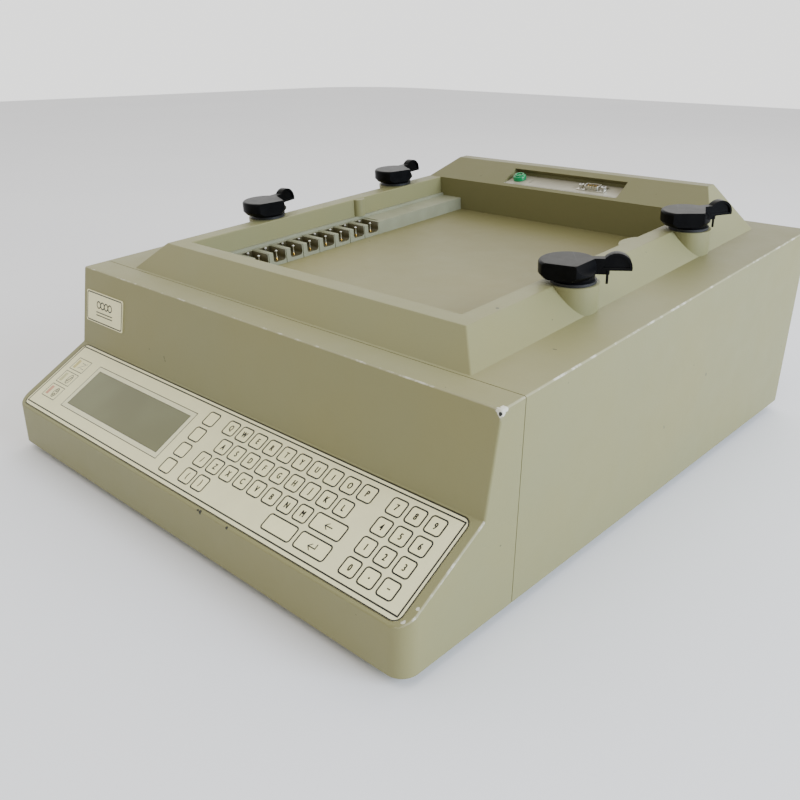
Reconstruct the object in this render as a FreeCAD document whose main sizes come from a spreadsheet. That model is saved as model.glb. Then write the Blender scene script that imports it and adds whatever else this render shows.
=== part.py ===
"""Bench tester for wound components: a wide low case with a film keyboard and display on
its sloping front, and a tilted fixture bay on top with four turning clamp knobs.

Units are millimetres. +X is the operator's right, +Y points to the rear, +Z is up.
The origin is the centre of the footprint, on the surface that the rubber feet stand on.
"""
import FreeCAD, Part
import math
import os
import Sketcher
from FreeCAD import Placement, Rotation, Vector

doc = FreeCAD.newDocument("BenchTester")

# ---------------------------------------------------------------- driving dimensions

DIMENSIONS = {
    # case
    "case_width": 450, "case_depth": 542, "foot_height": 8, "wall": 3, "tilt": 3.6,
    "top_height": 133.5, "lip_height": 33.8, "step_depth": 67.2, "step_height": 72.6,
    "brow_depth": 78, "seam_depth": 100.4, "seam_gap": 0.6, "edge_round": 1.6,
    "corner_round": 12, "flange": 17, "rear_recess": 10,
    # keyboard, on the desk: the slope that rises from the front lip
    "overlay_half": 218, "overlay_low": 3, "overlay_high": 76, "overlay_round": 6,
    "film": 0.5, "switch_film": 1.1, "recess_margin": 0.4,
    "window_left": -168, "window_right": -36.5, "window_low": 20.8, "window_high": 57.8,
    "lamp_x": -202.6, "lamp_top": 55.1, "lamp_pitch": 15.75, "lens_width": 4, "lens_height": 9,
    "badge_width": 58, "badge_height": 27, "badge_x": -189, "badge_up": 34.8,
    "badge_thickness": 0.8,
    # fixture bay: u runs rearwards from the front lip along the tilted top, v stands on it
    "frame_foot": 183.5, "frame_top": 162.5, "frame_height": 20,
    "frame_front": 103.3, "frame_front_top": 125.2, "frame_rear": 518,
    "box_slope_end": 500.5, "box_rear": 513, "box_height": 37,
    "bay_half": 147.2, "bay_front": 139.8, "bay_rear": 469.4, "bay_depth": 12,
    "skirt": 3, "floor_sheet": 2, "hollow_top": 17, "bay_edge_round": 0.9,
    "ledge_inner": 118.7, "ledge_top": 0.5, "strip_width": 3.6, "strip_top": 3,
    "slot_pitch": 20.15, "slot_first": 149.5, "slot_width": 13.8, "slot_floor": 9,
    "slot_reach": 140.6, "block_lip": 1, "contact_near": 123, "contact_far": 138,
    "key_u": 340, "key_radius": 6.3, "wide_key_u": 352, "wide_key_radius": 23.5,
    "wide_key_depth": 5,
    # clamps
    "clamp_left": 165.9, "clamp_right": 167.8, "clamp_front": 238.6, "clamp_rear": 416.4,
    "boss_radius": 18, "ring_radius": 16, "ring_height": 2,
    "spindle_radius": 5, "spindle_play": 0.05, "spindle_grip": 8,
    "knob_radius": 20, "knob_shift_x": 1.5, "knob_shift_y": -5, "knob_height": 11.8,
    "knob_bevel_in": 2.6, "knob_bevel_up": 3, "knob_rim": 2, "knob_collar": 14.5,
    "knob_gap": 0.4, "knob_lift": 2.2, "flat_distance": 18.9,
    "scoop_radius": 10, "scoop_out": 21.6, "scoop_up": 14.8,
    "beak_left": -6, "beak_width": 6.5, "beak_radius": 10.7, "beak_out": 28.5,
    "beak_up": 7.1, "beak_under": 5.6, "thumb_radius": 9.1, "thumb_depth": 1.5,
    "peg_radius": 0.9, "peg_out": 22.6, "peg_low": -3.8,
    # interlock panel in the rear box
    "panel_x": 2, "panel_half": 66, "panel_start": 472.8, "panel_rise": 21.9,
    "panel_tilt": 10.5, "panel_length": 25.9, "panel_sheet": 1.6, "recess_lip": 493.9,
    "port_x": 34.7, "socket_x": -52.3, "port_up": 13.5, "jack_spacing": 24.99,
    "socket_bore": 2.05, "socket_depth": 14,
    # rear panel
    "panel_plate": 2, "fan_x": 120, "fan_z": 104, "fan_size": 80, "fan_depth": 25,
    "fan_bore": 38, "fan_pitch": 71.5, "inlet_x": -150, "inlet_z": 56, "switch_x": -104,
    "serial_x": -46, "parallel_x": 18, "earth_x": 68, "rocker_lean": 9,
    # inside
    "board": 1.6, "spacer": 8, "relay_level": 100,
}

sizes = doc.addObject("Spreadsheet::Sheet", "Sizes")
for row, (alias, number) in enumerate(DIMENSIONS.items(), start=1):
    sizes.set(f"A{row}", alias)
    sizes.set(f"B{row}", str(number))
    sizes.setAlias(f"B{row}", alias)
doc.recompute()

TAN_TILT = "tan(Sizes.tilt * 1 deg)"
FRONT = "-Sizes.case_depth / 2"
REAR = "Sizes.case_depth / 2"
CASE_BOTTOM = "Sizes.foot_height"
TOP_AT_FRONT = "Sizes.foot_height + Sizes.top_height"

nodes = []
probe = doc.addObject("Part::Feature", "Probe")


def value(expression):
    """The number that an expression over the sheet gives."""
    return float(probe.evalExpression(str(expression)))


def node(name, shape, place=None):
    """Names a finished sub-part and puts it where it belongs."""
    shape.Label = name
    if place is not None:
        place(shape)
    nodes.append(shape)
    return shape


# ---------------------------------------------------------------- local frames

def in_bay(shape, at=("0", "0", "0"), turn=0, lean=0):
    """Puts a shape made in bay axes (x, u, v) on the tilted top of the case."""
    base = Placement(Vector(0, value(FRONT), value(TOP_AT_FRONT)),
                     Rotation(Vector(1, 0, 0), value("Sizes.tilt")))
    local = Placement(Vector(*[value(a) for a in at]), Rotation(Vector(1, 0, 0), lean))
    spin = Placement(Vector(0, 0, 0), Rotation(Vector(0, 0, 1), turn))
    shape.Placement = base * local * spin


def desk_angle():
    rise = value("Sizes.step_height - Sizes.lip_height")
    return math.degrees(math.atan2(rise, value("Sizes.step_depth")))


def on_desk(shape):
    """Puts a shape made in desk axes (x, up the slope, out of it) on the keyboard slope."""
    shape.Placement = Placement(
        Vector(0, value(FRONT), value("Sizes.foot_height + Sizes.lip_height")),
        Rotation(Vector(1, 0, 0), desk_angle()))


def on_brow(shape):
    """Puts a shape made in (x, up the face, out of it) on the steep face over the desk."""
    brow_rise = value("Sizes.top_height - Sizes.step_height + Sizes.brow_depth * " + TAN_TILT)
    angle = math.degrees(math.atan2(brow_rise, value("Sizes.brow_depth - Sizes.step_depth")))
    shape.Placement = Placement(
        Vector(0, value(FRONT + " + Sizes.step_depth"),
               value("Sizes.foot_height + Sizes.step_height")),
        Rotation(Vector(1, 0, 0), angle))


def on_interlock_plate(shape):
    """Puts a shape made in (x, up the plate, out of it) on the interlock panel."""
    in_bay(shape, ("0", "Sizes.panel_start", "Sizes.panel_rise"),
           lean=value("Sizes.panel_tilt"))


# ---------------------------------------------------------------- building blocks

def origin_plane(body, role):
    return next(f for f in body.Origin.OriginFeatures if f.Role == role)


def sketch(body, name, plane, start):
    """An empty sketch on one of the body's own planes, shifted along +X, +Y or +Z."""
    made = body.newObject("Sketcher::SketchObject", name)
    made.AttachmentSupport = [(origin_plane(body, plane), "")]
    made.MapMode = "FlatFace"
    # the XZ plane's normal points along -Y
    shift = f"-({start})" if plane == "XZ_Plane" else str(start)
    made.AttachmentOffset = Placement(Vector(0, 0, value(shift)), Rotation())
    made.setExpression("AttachmentOffset.Base.z", shift)
    return made


def pin_point(made, geometry, point, across, up, tag):
    """Ties a point of a sketch to the sheet by its two distances from the origin."""
    for kind, expression in (("DistanceX", across), ("DistanceY", up)):
        index = made.addConstraint(
            Sketcher.Constraint(kind, -1, 1, geometry, point, value(expression)))
        label = f"{kind}_{tag}"
        made.renameConstraint(index, label)
        made.setExpression(f"Constraints.{label}", str(expression))


def draw_polygon(made, corners):
    spots = [Vector(value(a), value(b), 0) for a, b in corners]
    first = made.GeometryCount
    count = len(spots)
    for i in range(count):
        made.addGeometry(Part.LineSegment(spots[i], spots[(i + 1) % count]), False)
    for i in range(count):
        made.addConstraint(Sketcher.Constraint(
            "Coincident", first + i, 2, first + (i + 1) % count, 1))
    for i, (across, up) in enumerate(corners):
        pin_point(made, first + i, 1, across, up, f"{first + i}")


def draw_circle(made, across, up, radius):
    index = made.addGeometry(
        Part.Circle(Vector(value(across), value(up), 0), Vector(0, 0, 1), value(radius)), False)
    pin_point(made, index, 3, across, up, f"{index}")
    tie = made.addConstraint(Sketcher.Constraint("Radius", index, value(radius)))
    made.renameConstraint(tie, f"Radius_{index}")
    made.setExpression(f"Constraints.Radius_{index}", str(radius))


def new_body(name):
    return doc.addObject("PartDesign::Body", name)


def pad(body, name, plane, start, length, polygons=(), circles=()):
    """Adds material from start to start + length along the plane's positive axis."""
    made = sketch(body, name + "_sketch", plane, start)
    for corners in polygons:
        draw_polygon(made, corners)
    for circle in circles:
        draw_circle(made, *circle)
    feature = body.newObject("PartDesign::Pad", name)
    feature.Profile = made
    feature.Length = value(length)
    feature.setExpression("Length", str(length))
    feature.Reversed = plane == "XZ_Plane"
    body.Tip = feature
    return feature


def pocket(body, name, plane, start, length, polygons=(), circles=()):
    """Cuts from start to start + length along the plane's positive axis."""
    made = sketch(body, name + "_sketch", plane, start)
    for corners in polygons:
        draw_polygon(made, corners)
    for circle in circles:
        draw_circle(made, *circle)
    feature = body.newObject("PartDesign::Pocket", name)
    feature.Profile = made
    feature.Length = value(length)
    feature.setExpression("Length", str(length))
    feature.Reversed = plane != "XZ_Plane"
    body.Tip = feature
    return feature


def is_straight(edge):
    """Whether an edge runs in a straight line between two ends."""
    if len(edge.Vertexes) != 2:
        return False
    span = edge.Vertexes[0].Point.distanceToPoint(edge.Vertexes[1].Point)
    return span > 0.4 and abs(edge.Length - span) < 1e-6


def round_edges(body, name, radius, chosen):
    """Rounds the body's edges that the test picks by their centre and direction."""
    doc.recompute()
    base = body.Tip
    picked = []
    for index, edge in enumerate(base.Shape.Edges, start=1):
        if not is_straight(edge):
            continue
        centre = edge.CenterOfMass
        if chosen(centre, edge.tangentAt(edge.FirstParameter)):
            picked.append(f"Edge{index}")
    feature = body.newObject("PartDesign::Fillet", name)
    feature.Base = (base, picked)
    feature.Radius = value(radius)
    feature.setExpression("Radius", str(radius))
    body.Tip = feature
    return feature


def rectangle(left, low, right, high):
    return [(left, low), (right, low), (right, high), (left, high)]


def box(name, length, width, height, x, y, z):
    """A block with its low corner at x, y, z."""
    made = doc.addObject("Part::Box", name)
    for prop, expression in (("Length", length), ("Width", width), ("Height", height)):
        made.setExpression(prop, str(expression))
    for axis, expression in (("x", x), ("y", y), ("z", z)):
        made.setExpression(f"Placement.Base.{axis}", str(expression))
    return made


AXES = {"x": Rotation(Vector(0, 1, 0), 90), "y": Rotation(Vector(1, 0, 0), -90),
        "z": Rotation()}


def cylinder(name, radius, length, x, y, z, along="z"):
    """A round bar that starts at x, y, z and runs along a positive axis."""
    made = doc.addObject("Part::Cylinder", name)
    made.Placement = Placement(Vector(0, 0, 0), AXES[along])
    made.setExpression("Radius", str(radius))
    made.setExpression("Height", str(length))
    for axis, expression in (("x", x), ("y", y), ("z", z)):
        made.setExpression(f"Placement.Base.{axis}", str(expression))
    return made


def cut(name, base, tool):
    made = doc.addObject("Part::Cut", name)
    made.Base = base
    made.Tool = tool
    return made


def fuse(name, pieces):
    made = doc.addObject("Part::MultiFuse", name)
    made.Shapes = pieces
    return made


def common(name, pieces):
    made = doc.addObject("Part::MultiCommon", name)
    made.Shapes = pieces
    return made


def group(name, pieces):
    """Separate solids that share one node."""
    made = doc.addObject("Part::Compound", name)
    made.Links = pieces
    return made


SIDES = (("left", -1), ("right", 1))
PANEL_FACE = REAR + " - Sizes.rear_recess"


def carried(name, primitive):
    """A primitive on a carrier, as its own position is bound to the sheet."""
    return group(name, [primitive])


def panel_box(name, x, z, width, height, start, length):
    """A block centred on x, z that starts a distance behind the panel's outer face."""
    return box(name, width, length, height, f"{x} - ({width}) / 2",
               f"{PANEL_FACE} + {start}", f"{z} - ({height}) / 2")


def panel_rod(name, x, z, radius, start, length):
    return cylinder(name, radius, length, x, f"{PANEL_FACE} + {start}", z, along="y")


# ---------------------------------------------------------------- case shells

def outer_top(depth):
    """Height of the outside of the tilted top at a distance behind the front lip."""
    return f"{TOP_AT_FRONT} + ({depth}) * {TAN_TILT}"


def at_depth(depth):
    return f"{FRONT} + {depth}"


def make_base_screws():
    """Eight screws that hold both covers' bottom flanges to the base pan."""
    screws = []
    for side_name, side in SIDES:
        for i, depth in enumerate(("50", "140", "330", "520")):
            x = f"{side} * (Sizes.case_width / 2 - Sizes.wall - Sizes.flange / 2)"
            y = at_depth(depth)
            tag = f"{side_name}_{i}"
            head = cylinder("base_head_" + tag, "3.5", "2", x, y, "Sizes.foot_height - 2")
            shank = cylinder("base_shank_" + tag, "2", "9", x, y, "Sizes.foot_height - 1")
            screws.append(fuse("base_screw_" + tag, [head, shank]))
    return node("base_screws", group("base_screws", screws))


def make_front_cover(base_screws):
    """Front cover: lip, keyboard desk, brow and the first strip of the top."""
    seam = "Sizes.seam_depth - Sizes.seam_gap / 2"
    shell = new_body("front_shell")
    outline = [
        (FRONT, CASE_BOTTOM),
        (FRONT, CASE_BOTTOM + " + Sizes.lip_height"),
        (at_depth("Sizes.step_depth"), CASE_BOTTOM + " + Sizes.step_height"),
        (at_depth("Sizes.brow_depth"), outer_top("Sizes.brow_depth")),
        (at_depth(seam), outer_top(seam)),
        (at_depth(seam), CASE_BOTTOM),
    ]
    pad(shell, "front_block", "YZ_Plane", "-Sizes.case_width / 2", "Sizes.case_width",
        [outline])
    front = value(FRONT)
    half = value("Sizes.case_width / 2")
    round_edges(shell, "lip_corners", "Sizes.corner_round",
                lambda c, d: abs(d.z) > 0.99 and c.y < front + 1)
    round_edges(shell, "front_edges", "Sizes.edge_round",
                lambda c, d: c.y < front + value("Sizes.seam_depth") - 2
                and c.z > value(CASE_BOTTOM) + 1
                and (abs(d.x) > 0.99 or abs(c.x) > half - 0.1))
    # how far a wall moves a sloping corner: across the wall, and down it
    inside = [
        (at_depth("Sizes.wall"), CASE_BOTTOM + " + Sizes.wall"),
        (at_depth("Sizes.wall"), CASE_BOTTOM + " + Sizes.lip_height - 0.58 * Sizes.wall"),
        (at_depth("Sizes.step_depth + 0.91 * Sizes.wall"),
         CASE_BOTTOM + " + Sizes.step_height - 0.63 * Sizes.wall"),
        (at_depth("Sizes.brow_depth + 0.85 * Sizes.wall"),
         outer_top("Sizes.brow_depth") + " - Sizes.wall"),
        (at_depth(seam + " + 1"), outer_top(seam) + " - Sizes.wall"),
        (at_depth(seam + " + 1"), CASE_BOTTOM + " + Sizes.wall"),
    ]
    hollow = new_body("front_hollow")
    pad(hollow, "front_hollow_block", "YZ_Plane", "-Sizes.case_width / 2 + Sizes.wall",
        "Sizes.case_width - 2 * Sizes.wall", [inside])
    inner_front = value(at_depth("Sizes.wall"))
    round_edges(hollow, "hollow_corners", "Sizes.corner_round - Sizes.wall",
                lambda c, d: abs(d.z) > 0.99 and c.y < inner_front + 1)
    bottom = new_body("front_bottom")
    rim = "Sizes.case_width / 2 - Sizes.wall - Sizes.flange"
    pad(bottom, "front_bottom_space", "XY_Plane", CASE_BOTTOM + " - 1", "Sizes.wall + 2",
        [rectangle("-(" + rim + ")", at_depth("Sizes.wall + Sizes.flange"), rim,
                   at_depth("Sizes.seam_depth + 1"))])
    walls = cut("front_walls", shell, fuse("front_spaces", [hollow, bottom]))
    recess_depth = "Sizes.film + Sizes.switch_film"
    recess = new_body("overlay_recess")
    reach = "Sizes.overlay_half + Sizes.recess_margin"
    pad(recess, "overlay_recess_block", "XY_Plane", f"-({recess_depth})",
        recess_depth + " + 2",
        [rectangle(f"-({reach})", "Sizes.overlay_low - Sizes.recess_margin", reach,
                   "Sizes.overlay_high + Sizes.recess_margin")])
    round_edges(recess, "recess_corners", "Sizes.overlay_round + Sizes.recess_margin",
                lambda c, d: abs(d.z) > 0.99)
    window = box("display_cutout", "Sizes.window_right - Sizes.window_left",
                 "Sizes.window_high - Sizes.window_low", "20",
                 "Sizes.window_left", "Sizes.window_low", "-10")
    tail = box("keyboard_tail_slot", "40", "3", "20", "60", "5", "-10")
    cuts = [recess, window, tail]
    for i in range(3):
        cuts.append(box(f"lamp_cutout_{i}", "Sizes.lens_width", "Sizes.lens_height", "20",
                        "Sizes.lamp_x - Sizes.lens_width / 2",
                        f"Sizes.lamp_top - {i} * Sizes.lamp_pitch - Sizes.lens_height / 2",
                        "-10"))
    tools = fuse("desk_cuts", cuts)
    on_desk(tools)
    open_shell = cut("front_cover_open", walls, tools)
    return node("front_cover", cut("front_cover", open_shell, base_screws))


def make_panel_screws():
    """Five screws that hold the rear panel to the main cover's inner rim."""
    screws = []
    for i, (x, z) in enumerate((("-212", "24"), ("212", "24"), ("-212", "150"),
                                ("212", "150"), ("0", "163"))):
        head = panel_rod(f"panel_head_{i}", x, z, "3.4", "0", "2")
        shank = panel_rod(f"panel_shank_{i}", x, z, "1.75", "-8", "9")
        screws.append(fuse(f"panel_screw_{i}", [head, shank]))
    return node("rear_panel_screws", group("rear_panel_screws", screws))


def make_rear_case(base_screws, panel_screws):
    """Main cover: two sides and the tilted top, open under the fixture bay."""
    seam = "Sizes.seam_depth + Sizes.seam_gap / 2"
    shell = new_body("rear_shell")
    outline = [
        (at_depth(seam), CASE_BOTTOM),
        (at_depth(seam), outer_top(seam)),
        (REAR, outer_top("Sizes.case_depth")),
        (REAR, CASE_BOTTOM),
    ]
    pad(shell, "rear_block", "YZ_Plane", "-Sizes.case_width / 2", "Sizes.case_width",
        [outline])
    half = value("Sizes.case_width / 2")
    round_edges(shell, "rear_edges", "Sizes.edge_round",
                lambda c, d: abs(c.x) > half - 0.1 and c.z > value(CASE_BOTTOM) + 90
                and abs(d.y) > 0.9)
    inside = [
        (at_depth(seam + " - 1"), CASE_BOTTOM + " + Sizes.wall"),
        (at_depth(seam + " - 1"), outer_top(seam) + " - Sizes.wall"),
        (REAR + " + 1", outer_top("Sizes.case_depth") + " - Sizes.wall"),
        (REAR + " + 1", CASE_BOTTOM + " + Sizes.wall"),
    ]
    pocket(shell, "rear_hollow", "YZ_Plane", "-Sizes.case_width / 2 + Sizes.wall",
           "Sizes.case_width - 2 * Sizes.wall", [inside])
    rim = "Sizes.case_width / 2 - Sizes.wall - Sizes.flange"
    pocket(shell, "rear_bottom", "XY_Plane", CASE_BOTTOM + " - 1", "Sizes.wall + 2",
           [rectangle("-(" + rim + ")", at_depth("Sizes.seam_depth - 1"), rim,
                      REAR + " + 1")])
    rim_outer = "Sizes.case_width / 2 - Sizes.wall + 0.5"
    rim_inner = "Sizes.case_width / 2 - Sizes.wall - 16"
    rim_low = CASE_BOTTOM + " + Sizes.wall + 2.2"
    rim_high = outer_top("Sizes.case_depth - Sizes.rear_recess - 6") + " - Sizes.wall"
    rim_top = rim_high + " - 14"
    pad(shell, "rear_rim", "XZ_Plane", PANEL_FACE + " - Sizes.panel_plate - 2", "2",
        [[("-(" + rim_outer + ")", rim_low), ("-(" + rim_outer + ")", rim_high + " + 0.5"),
          (rim_outer, rim_high + " + 0.5"), (rim_outer, rim_low), (rim_inner, rim_low),
          (rim_inner, rim_top), ("-(" + rim_inner + ")", rim_top),
          ("-(" + rim_inner + ")", rim_low)]])
    cutout = box("bay_opening", "2 * (Sizes.bay_half + Sizes.skirt + 2)",
               "Sizes.bay_rear - Sizes.bay_front + 2 * Sizes.skirt + 4", "30",
               "-Sizes.bay_half - Sizes.skirt - 2", "Sizes.bay_front - Sizes.skirt - 2",
               "-15")
    hole = carried("bay_cutout", cutout)
    in_bay(hole)
    open_top = cut("rear_case_open", shell, hole)
    screwed = cut("rear_case_screwed", open_top, base_screws)
    return node("rear_case", cut("rear_case", screwed, panel_screws))


def make_base_pan(base_screws):
    """Floor sheet that lies on the covers' bottom flanges and carries everything inside."""
    pan = new_body("pan_sheet")
    level = CASE_BOTTOM + " + Sizes.wall"
    edge = "Sizes.case_width / 2 - Sizes.wall - 0.5"
    pad(pan, "pan_floor", "XY_Plane", level, "2",
        [rectangle("-(" + edge + ")", at_depth("Sizes.wall + 2"), edge,
                   PANEL_FACE + " - Sizes.panel_plate - 0.3")])
    front_end = value(at_depth("Sizes.wall + 3"))
    round_edges(pan, "pan_corners", "Sizes.corner_round - Sizes.wall",
                lambda c, d: abs(d.z) > 0.99 and c.y < front_end)
    for side_name, low in (("left", "-(" + edge + ")"), ("right", edge + " - 1.5")):
        pad(pan, "pan_flange_" + side_name, "XY_Plane", level + " + 2", "14",
            [rectangle(low, at_depth("110"), low + " + 1.5",
                       PANEL_FACE + " - Sizes.panel_plate - 2.5")])
    slots = []
    for i in range(7):
        x = f"{-120 + 40 * i}"
        slots.append(rectangle(x, "60", x + " + 4", "130"))
    pocket(pan, "pan_vents", "XY_Plane", level + " - 1", "4", slots)
    return node("base_pan", cut("base_pan", pan, base_screws))


def make_feet():
    """Four rubber feet that pass the flanges' opening and stick to the base pan."""
    feet = []
    for side_name, side in SIDES:
        for end, depth in (("front", "46"), ("rear", "490")):
            tag = f"{end}_{side_name}"
            x = f"{side} * 185"
            lower = doc.addObject("Part::Cone", "foot_" + tag)
            lower.Radius1 = 10.5
            lower.Radius2 = 12.5
            lower.setExpression("Height", CASE_BOTTOM + " + Sizes.wall")
            lower.setExpression("Placement.Base.x", x)
            lower.setExpression("Placement.Base.y", at_depth(depth))
            feet.append(lower)
    return node("rubber_feet", group("rubber_feet", feet))


def make_bulkhead():
    """Sheet wall behind the front cover that ties both covers to the base pan."""
    wall = new_body("bulkhead")
    edge = "Sizes.case_width / 2 - Sizes.wall - 0.5"
    low = CASE_BOTTOM + " + Sizes.wall + 2"
    high = outer_top("Sizes.seam_depth") + " - Sizes.wall - 0.4"
    pad(wall, "bulkhead_sheet", "XZ_Plane", at_depth("Sizes.seam_depth + 2"), "2",
        [rectangle("-(" + edge + ")", low, edge, high)])
    pocket(wall, "bulkhead_windows", "XZ_Plane", at_depth("Sizes.seam_depth + 1"), "4",
           [rectangle("-150", "40", "-40", "70"), rectangle("40", "40", "150", "70"),
            rectangle("-40", "95", "40", "115")])
    return node("bulkhead", wall)


# ---------------------------------------------------------------- keyboard and display

def film_sheet(name, low_face, thickness):
    """A rounded sheet that covers the desk, cut for the display and three lamps."""
    sheet_body = new_body(name)
    pad(sheet_body, name + "_sheet", "XY_Plane", low_face, thickness,
        [rectangle("-Sizes.overlay_half", "Sizes.overlay_low", "Sizes.overlay_half",
                   "Sizes.overlay_high")])
    half = value("Sizes.overlay_half")
    round_edges(sheet_body, name + "_corners", "Sizes.overlay_round",
                lambda c, d: abs(d.z) > 0.99 and abs(c.x) > half - 1)
    holes = [rectangle("Sizes.window_left", "Sizes.window_low", "Sizes.window_right",
                       "Sizes.window_high")]
    for i in range(3):
        centre = f"Sizes.lamp_top - {i} * Sizes.lamp_pitch"
        holes.append(rectangle("Sizes.lamp_x - Sizes.lens_width / 2",
                               centre + " - Sizes.lens_height / 2",
                               "Sizes.lamp_x + Sizes.lens_width / 2",
                               centre + " + Sizes.lens_height / 2"))
    pocket(sheet_body, name + "_windows", "XY_Plane", low_face + " - 1", thickness + " + 2",
           holes)
    return sheet_body


def make_keyboard():
    node("keypad_overlay", film_sheet("keypad_overlay", "-Sizes.film", "Sizes.film"), on_desk)
    node("keypad_switch_sheet",
         film_sheet("keypad_switch_sheet", "-Sizes.film - Sizes.switch_film",
                    "Sizes.switch_film"), on_desk)
    window = box("window_sheet", "Sizes.window_right - Sizes.window_left",
                 "Sizes.window_high - Sizes.window_low", "Sizes.film + Sizes.switch_film",
                 "Sizes.window_left", "Sizes.window_low", "-Sizes.film - Sizes.switch_film")
    node("display_window", carried("display_window", window), on_desk)
    lenses = []
    for i in range(3):
        lenses.append(box(f"status_lens_{i}", "Sizes.lens_width", "Sizes.lens_height",
                          "Sizes.film + Sizes.switch_film",
                          "Sizes.lamp_x - Sizes.lens_width / 2",
                          f"Sizes.lamp_top - {i} * Sizes.lamp_pitch - Sizes.lens_height / 2",
                          "-Sizes.film - Sizes.switch_film"))
    node("status_lenses", group("status_lenses", lenses), on_desk)


def make_display():
    """Liquid crystal module behind the desk, with its board and three status lamps."""
    margin = 8
    glass = box("glass_cell", "Sizes.window_right - Sizes.window_left + 8",
                "Sizes.window_high - Sizes.window_low + 8", "2",
                "Sizes.window_left - 4", "Sizes.window_low - 4", "-5.2")
    node("display_glass", carried("display_glass", glass), on_desk)
    frame = new_body("display_frame")
    outer = rectangle(f"Sizes.window_left - {margin}", f"Sizes.window_low - {margin}",
                      f"Sizes.window_right + {margin}", f"Sizes.window_high + {margin}")
    pad(frame, "display_frame_block", "XY_Plane", "-14", "10.8", [outer])
    pocket(frame, "display_frame_seat", "XY_Plane", "-5.2", "3",
           [rectangle("Sizes.window_left - 4", "Sizes.window_low - 4",
                      "Sizes.window_right + 4", "Sizes.window_high + 4")])
    node("display_frame", frame, on_desk)
    board = box("display_circuit", "Sizes.window_right - Sizes.window_left + 62", "58",
                "Sizes.board", "Sizes.window_left - 44", "10", "-15.6")
    node("display_board", carried("display_board", board), on_desk)
    lamps = []
    for i in range(3):
        up = f"Sizes.lamp_top - {i} * Sizes.lamp_pitch"
        stem = cylinder(f"lamp_stem_{i}", "2", "9", "Sizes.lamp_x", up, "-14")
        dome = doc.addObject("Part::Sphere", f"lamp_dome_{i}")
        dome.Radius = 2
        dome.setExpression("Placement.Base.x", "Sizes.lamp_x")
        dome.setExpression("Placement.Base.y", up)
        dome.setExpression("Placement.Base.z", "-5")
        lamps.append(fuse(f"status_lamp_{i}", [stem, dome]))
    node("status_lamps", group("status_lamps", lamps), on_desk)


def make_badge():
    """Blank nameplate on the brow."""
    plate = new_body("badge_plate")
    pad(plate, "badge_sheet", "XY_Plane", "0", "Sizes.badge_thickness",
        [rectangle("Sizes.badge_x - Sizes.badge_width / 2",
                   "Sizes.badge_up - Sizes.badge_height / 2",
                   "Sizes.badge_x + Sizes.badge_width / 2",
                   "Sizes.badge_up + Sizes.badge_height / 2")])
    round_edges(plate, "badge_corners", "1.5", lambda c, d: abs(d.z) > 0.99)
    node("badge_plate", plate, on_brow)


# ---------------------------------------------------------------- fixture bay

def clamp_spots():
    """The four clamp axes: name, place across the bay and distance along it."""
    spots = []
    for end in ("front", "rear"):
        for side_name, side in SIDES:
            spots.append((f"{end}_{side_name}", f"{side} * Sizes.clamp_{side_name}",
                          f"Sizes.clamp_{end}"))
    return spots


def frame_block(name, inset, top):
    """The raised frame's sloping outside, or its hollow when it is set inwards."""
    grade = "(Sizes.frame_foot - Sizes.frame_top) / Sizes.frame_height"
    nose = "(Sizes.frame_front_top - Sizes.frame_front) / Sizes.frame_height"
    block = new_body(name)
    if inset:
        side_profile = [
            (f"Sizes.frame_front + {inset}", "-1"),
            (f"Sizes.frame_front + {inset} + ({top} + 1) * {nose}", top),
            (f"Sizes.frame_rear - {inset} - 2", top),
            (f"Sizes.frame_rear - {inset} - 2", "-1"),
        ]
    else:
        side_profile = [
            ("Sizes.frame_front", "0"),
            ("Sizes.frame_front_top", "Sizes.frame_height"),
            ("Sizes.bay_rear", "Sizes.frame_height"),
            ("Sizes.box_slope_end", "Sizes.box_height"),
            ("Sizes.box_rear", "Sizes.box_height"),
            ("Sizes.frame_rear", "0"),
        ]
    pad(block, name + "_length", "YZ_Plane", "-Sizes.frame_foot", "2 * Sizes.frame_foot",
        [side_profile])
    foot = f"Sizes.frame_foot - {inset}" if inset else "Sizes.frame_foot"
    high = f"({top})"
    cross = new_body(name + "_cross")
    pad(cross, name + "_span", "XZ_Plane", "0", "600",
        [[(f"-({foot}) - {grade}", "-1"), (f"{foot} + {grade}", "-1"),
          (f"{foot} - {grade} * {high}", high), (f"-({foot}) + {grade} * {high}", high)]])
    return common(name + "_solid", [block, cross])


def rounded_solid(name, base, radius, chosen):
    """Rounds the straight edges of a boolean result that the test picks."""
    doc.recompute()
    made = doc.addObject("Part::Fillet", name)
    made.Base = base
    size = value(radius)
    picked = []
    for index, edge in enumerate(base.Shape.Edges, start=1):
        if is_straight(edge) and chosen(edge.CenterOfMass):
            picked.append((index, size, size))
    made.Edges = picked
    return made


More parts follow.
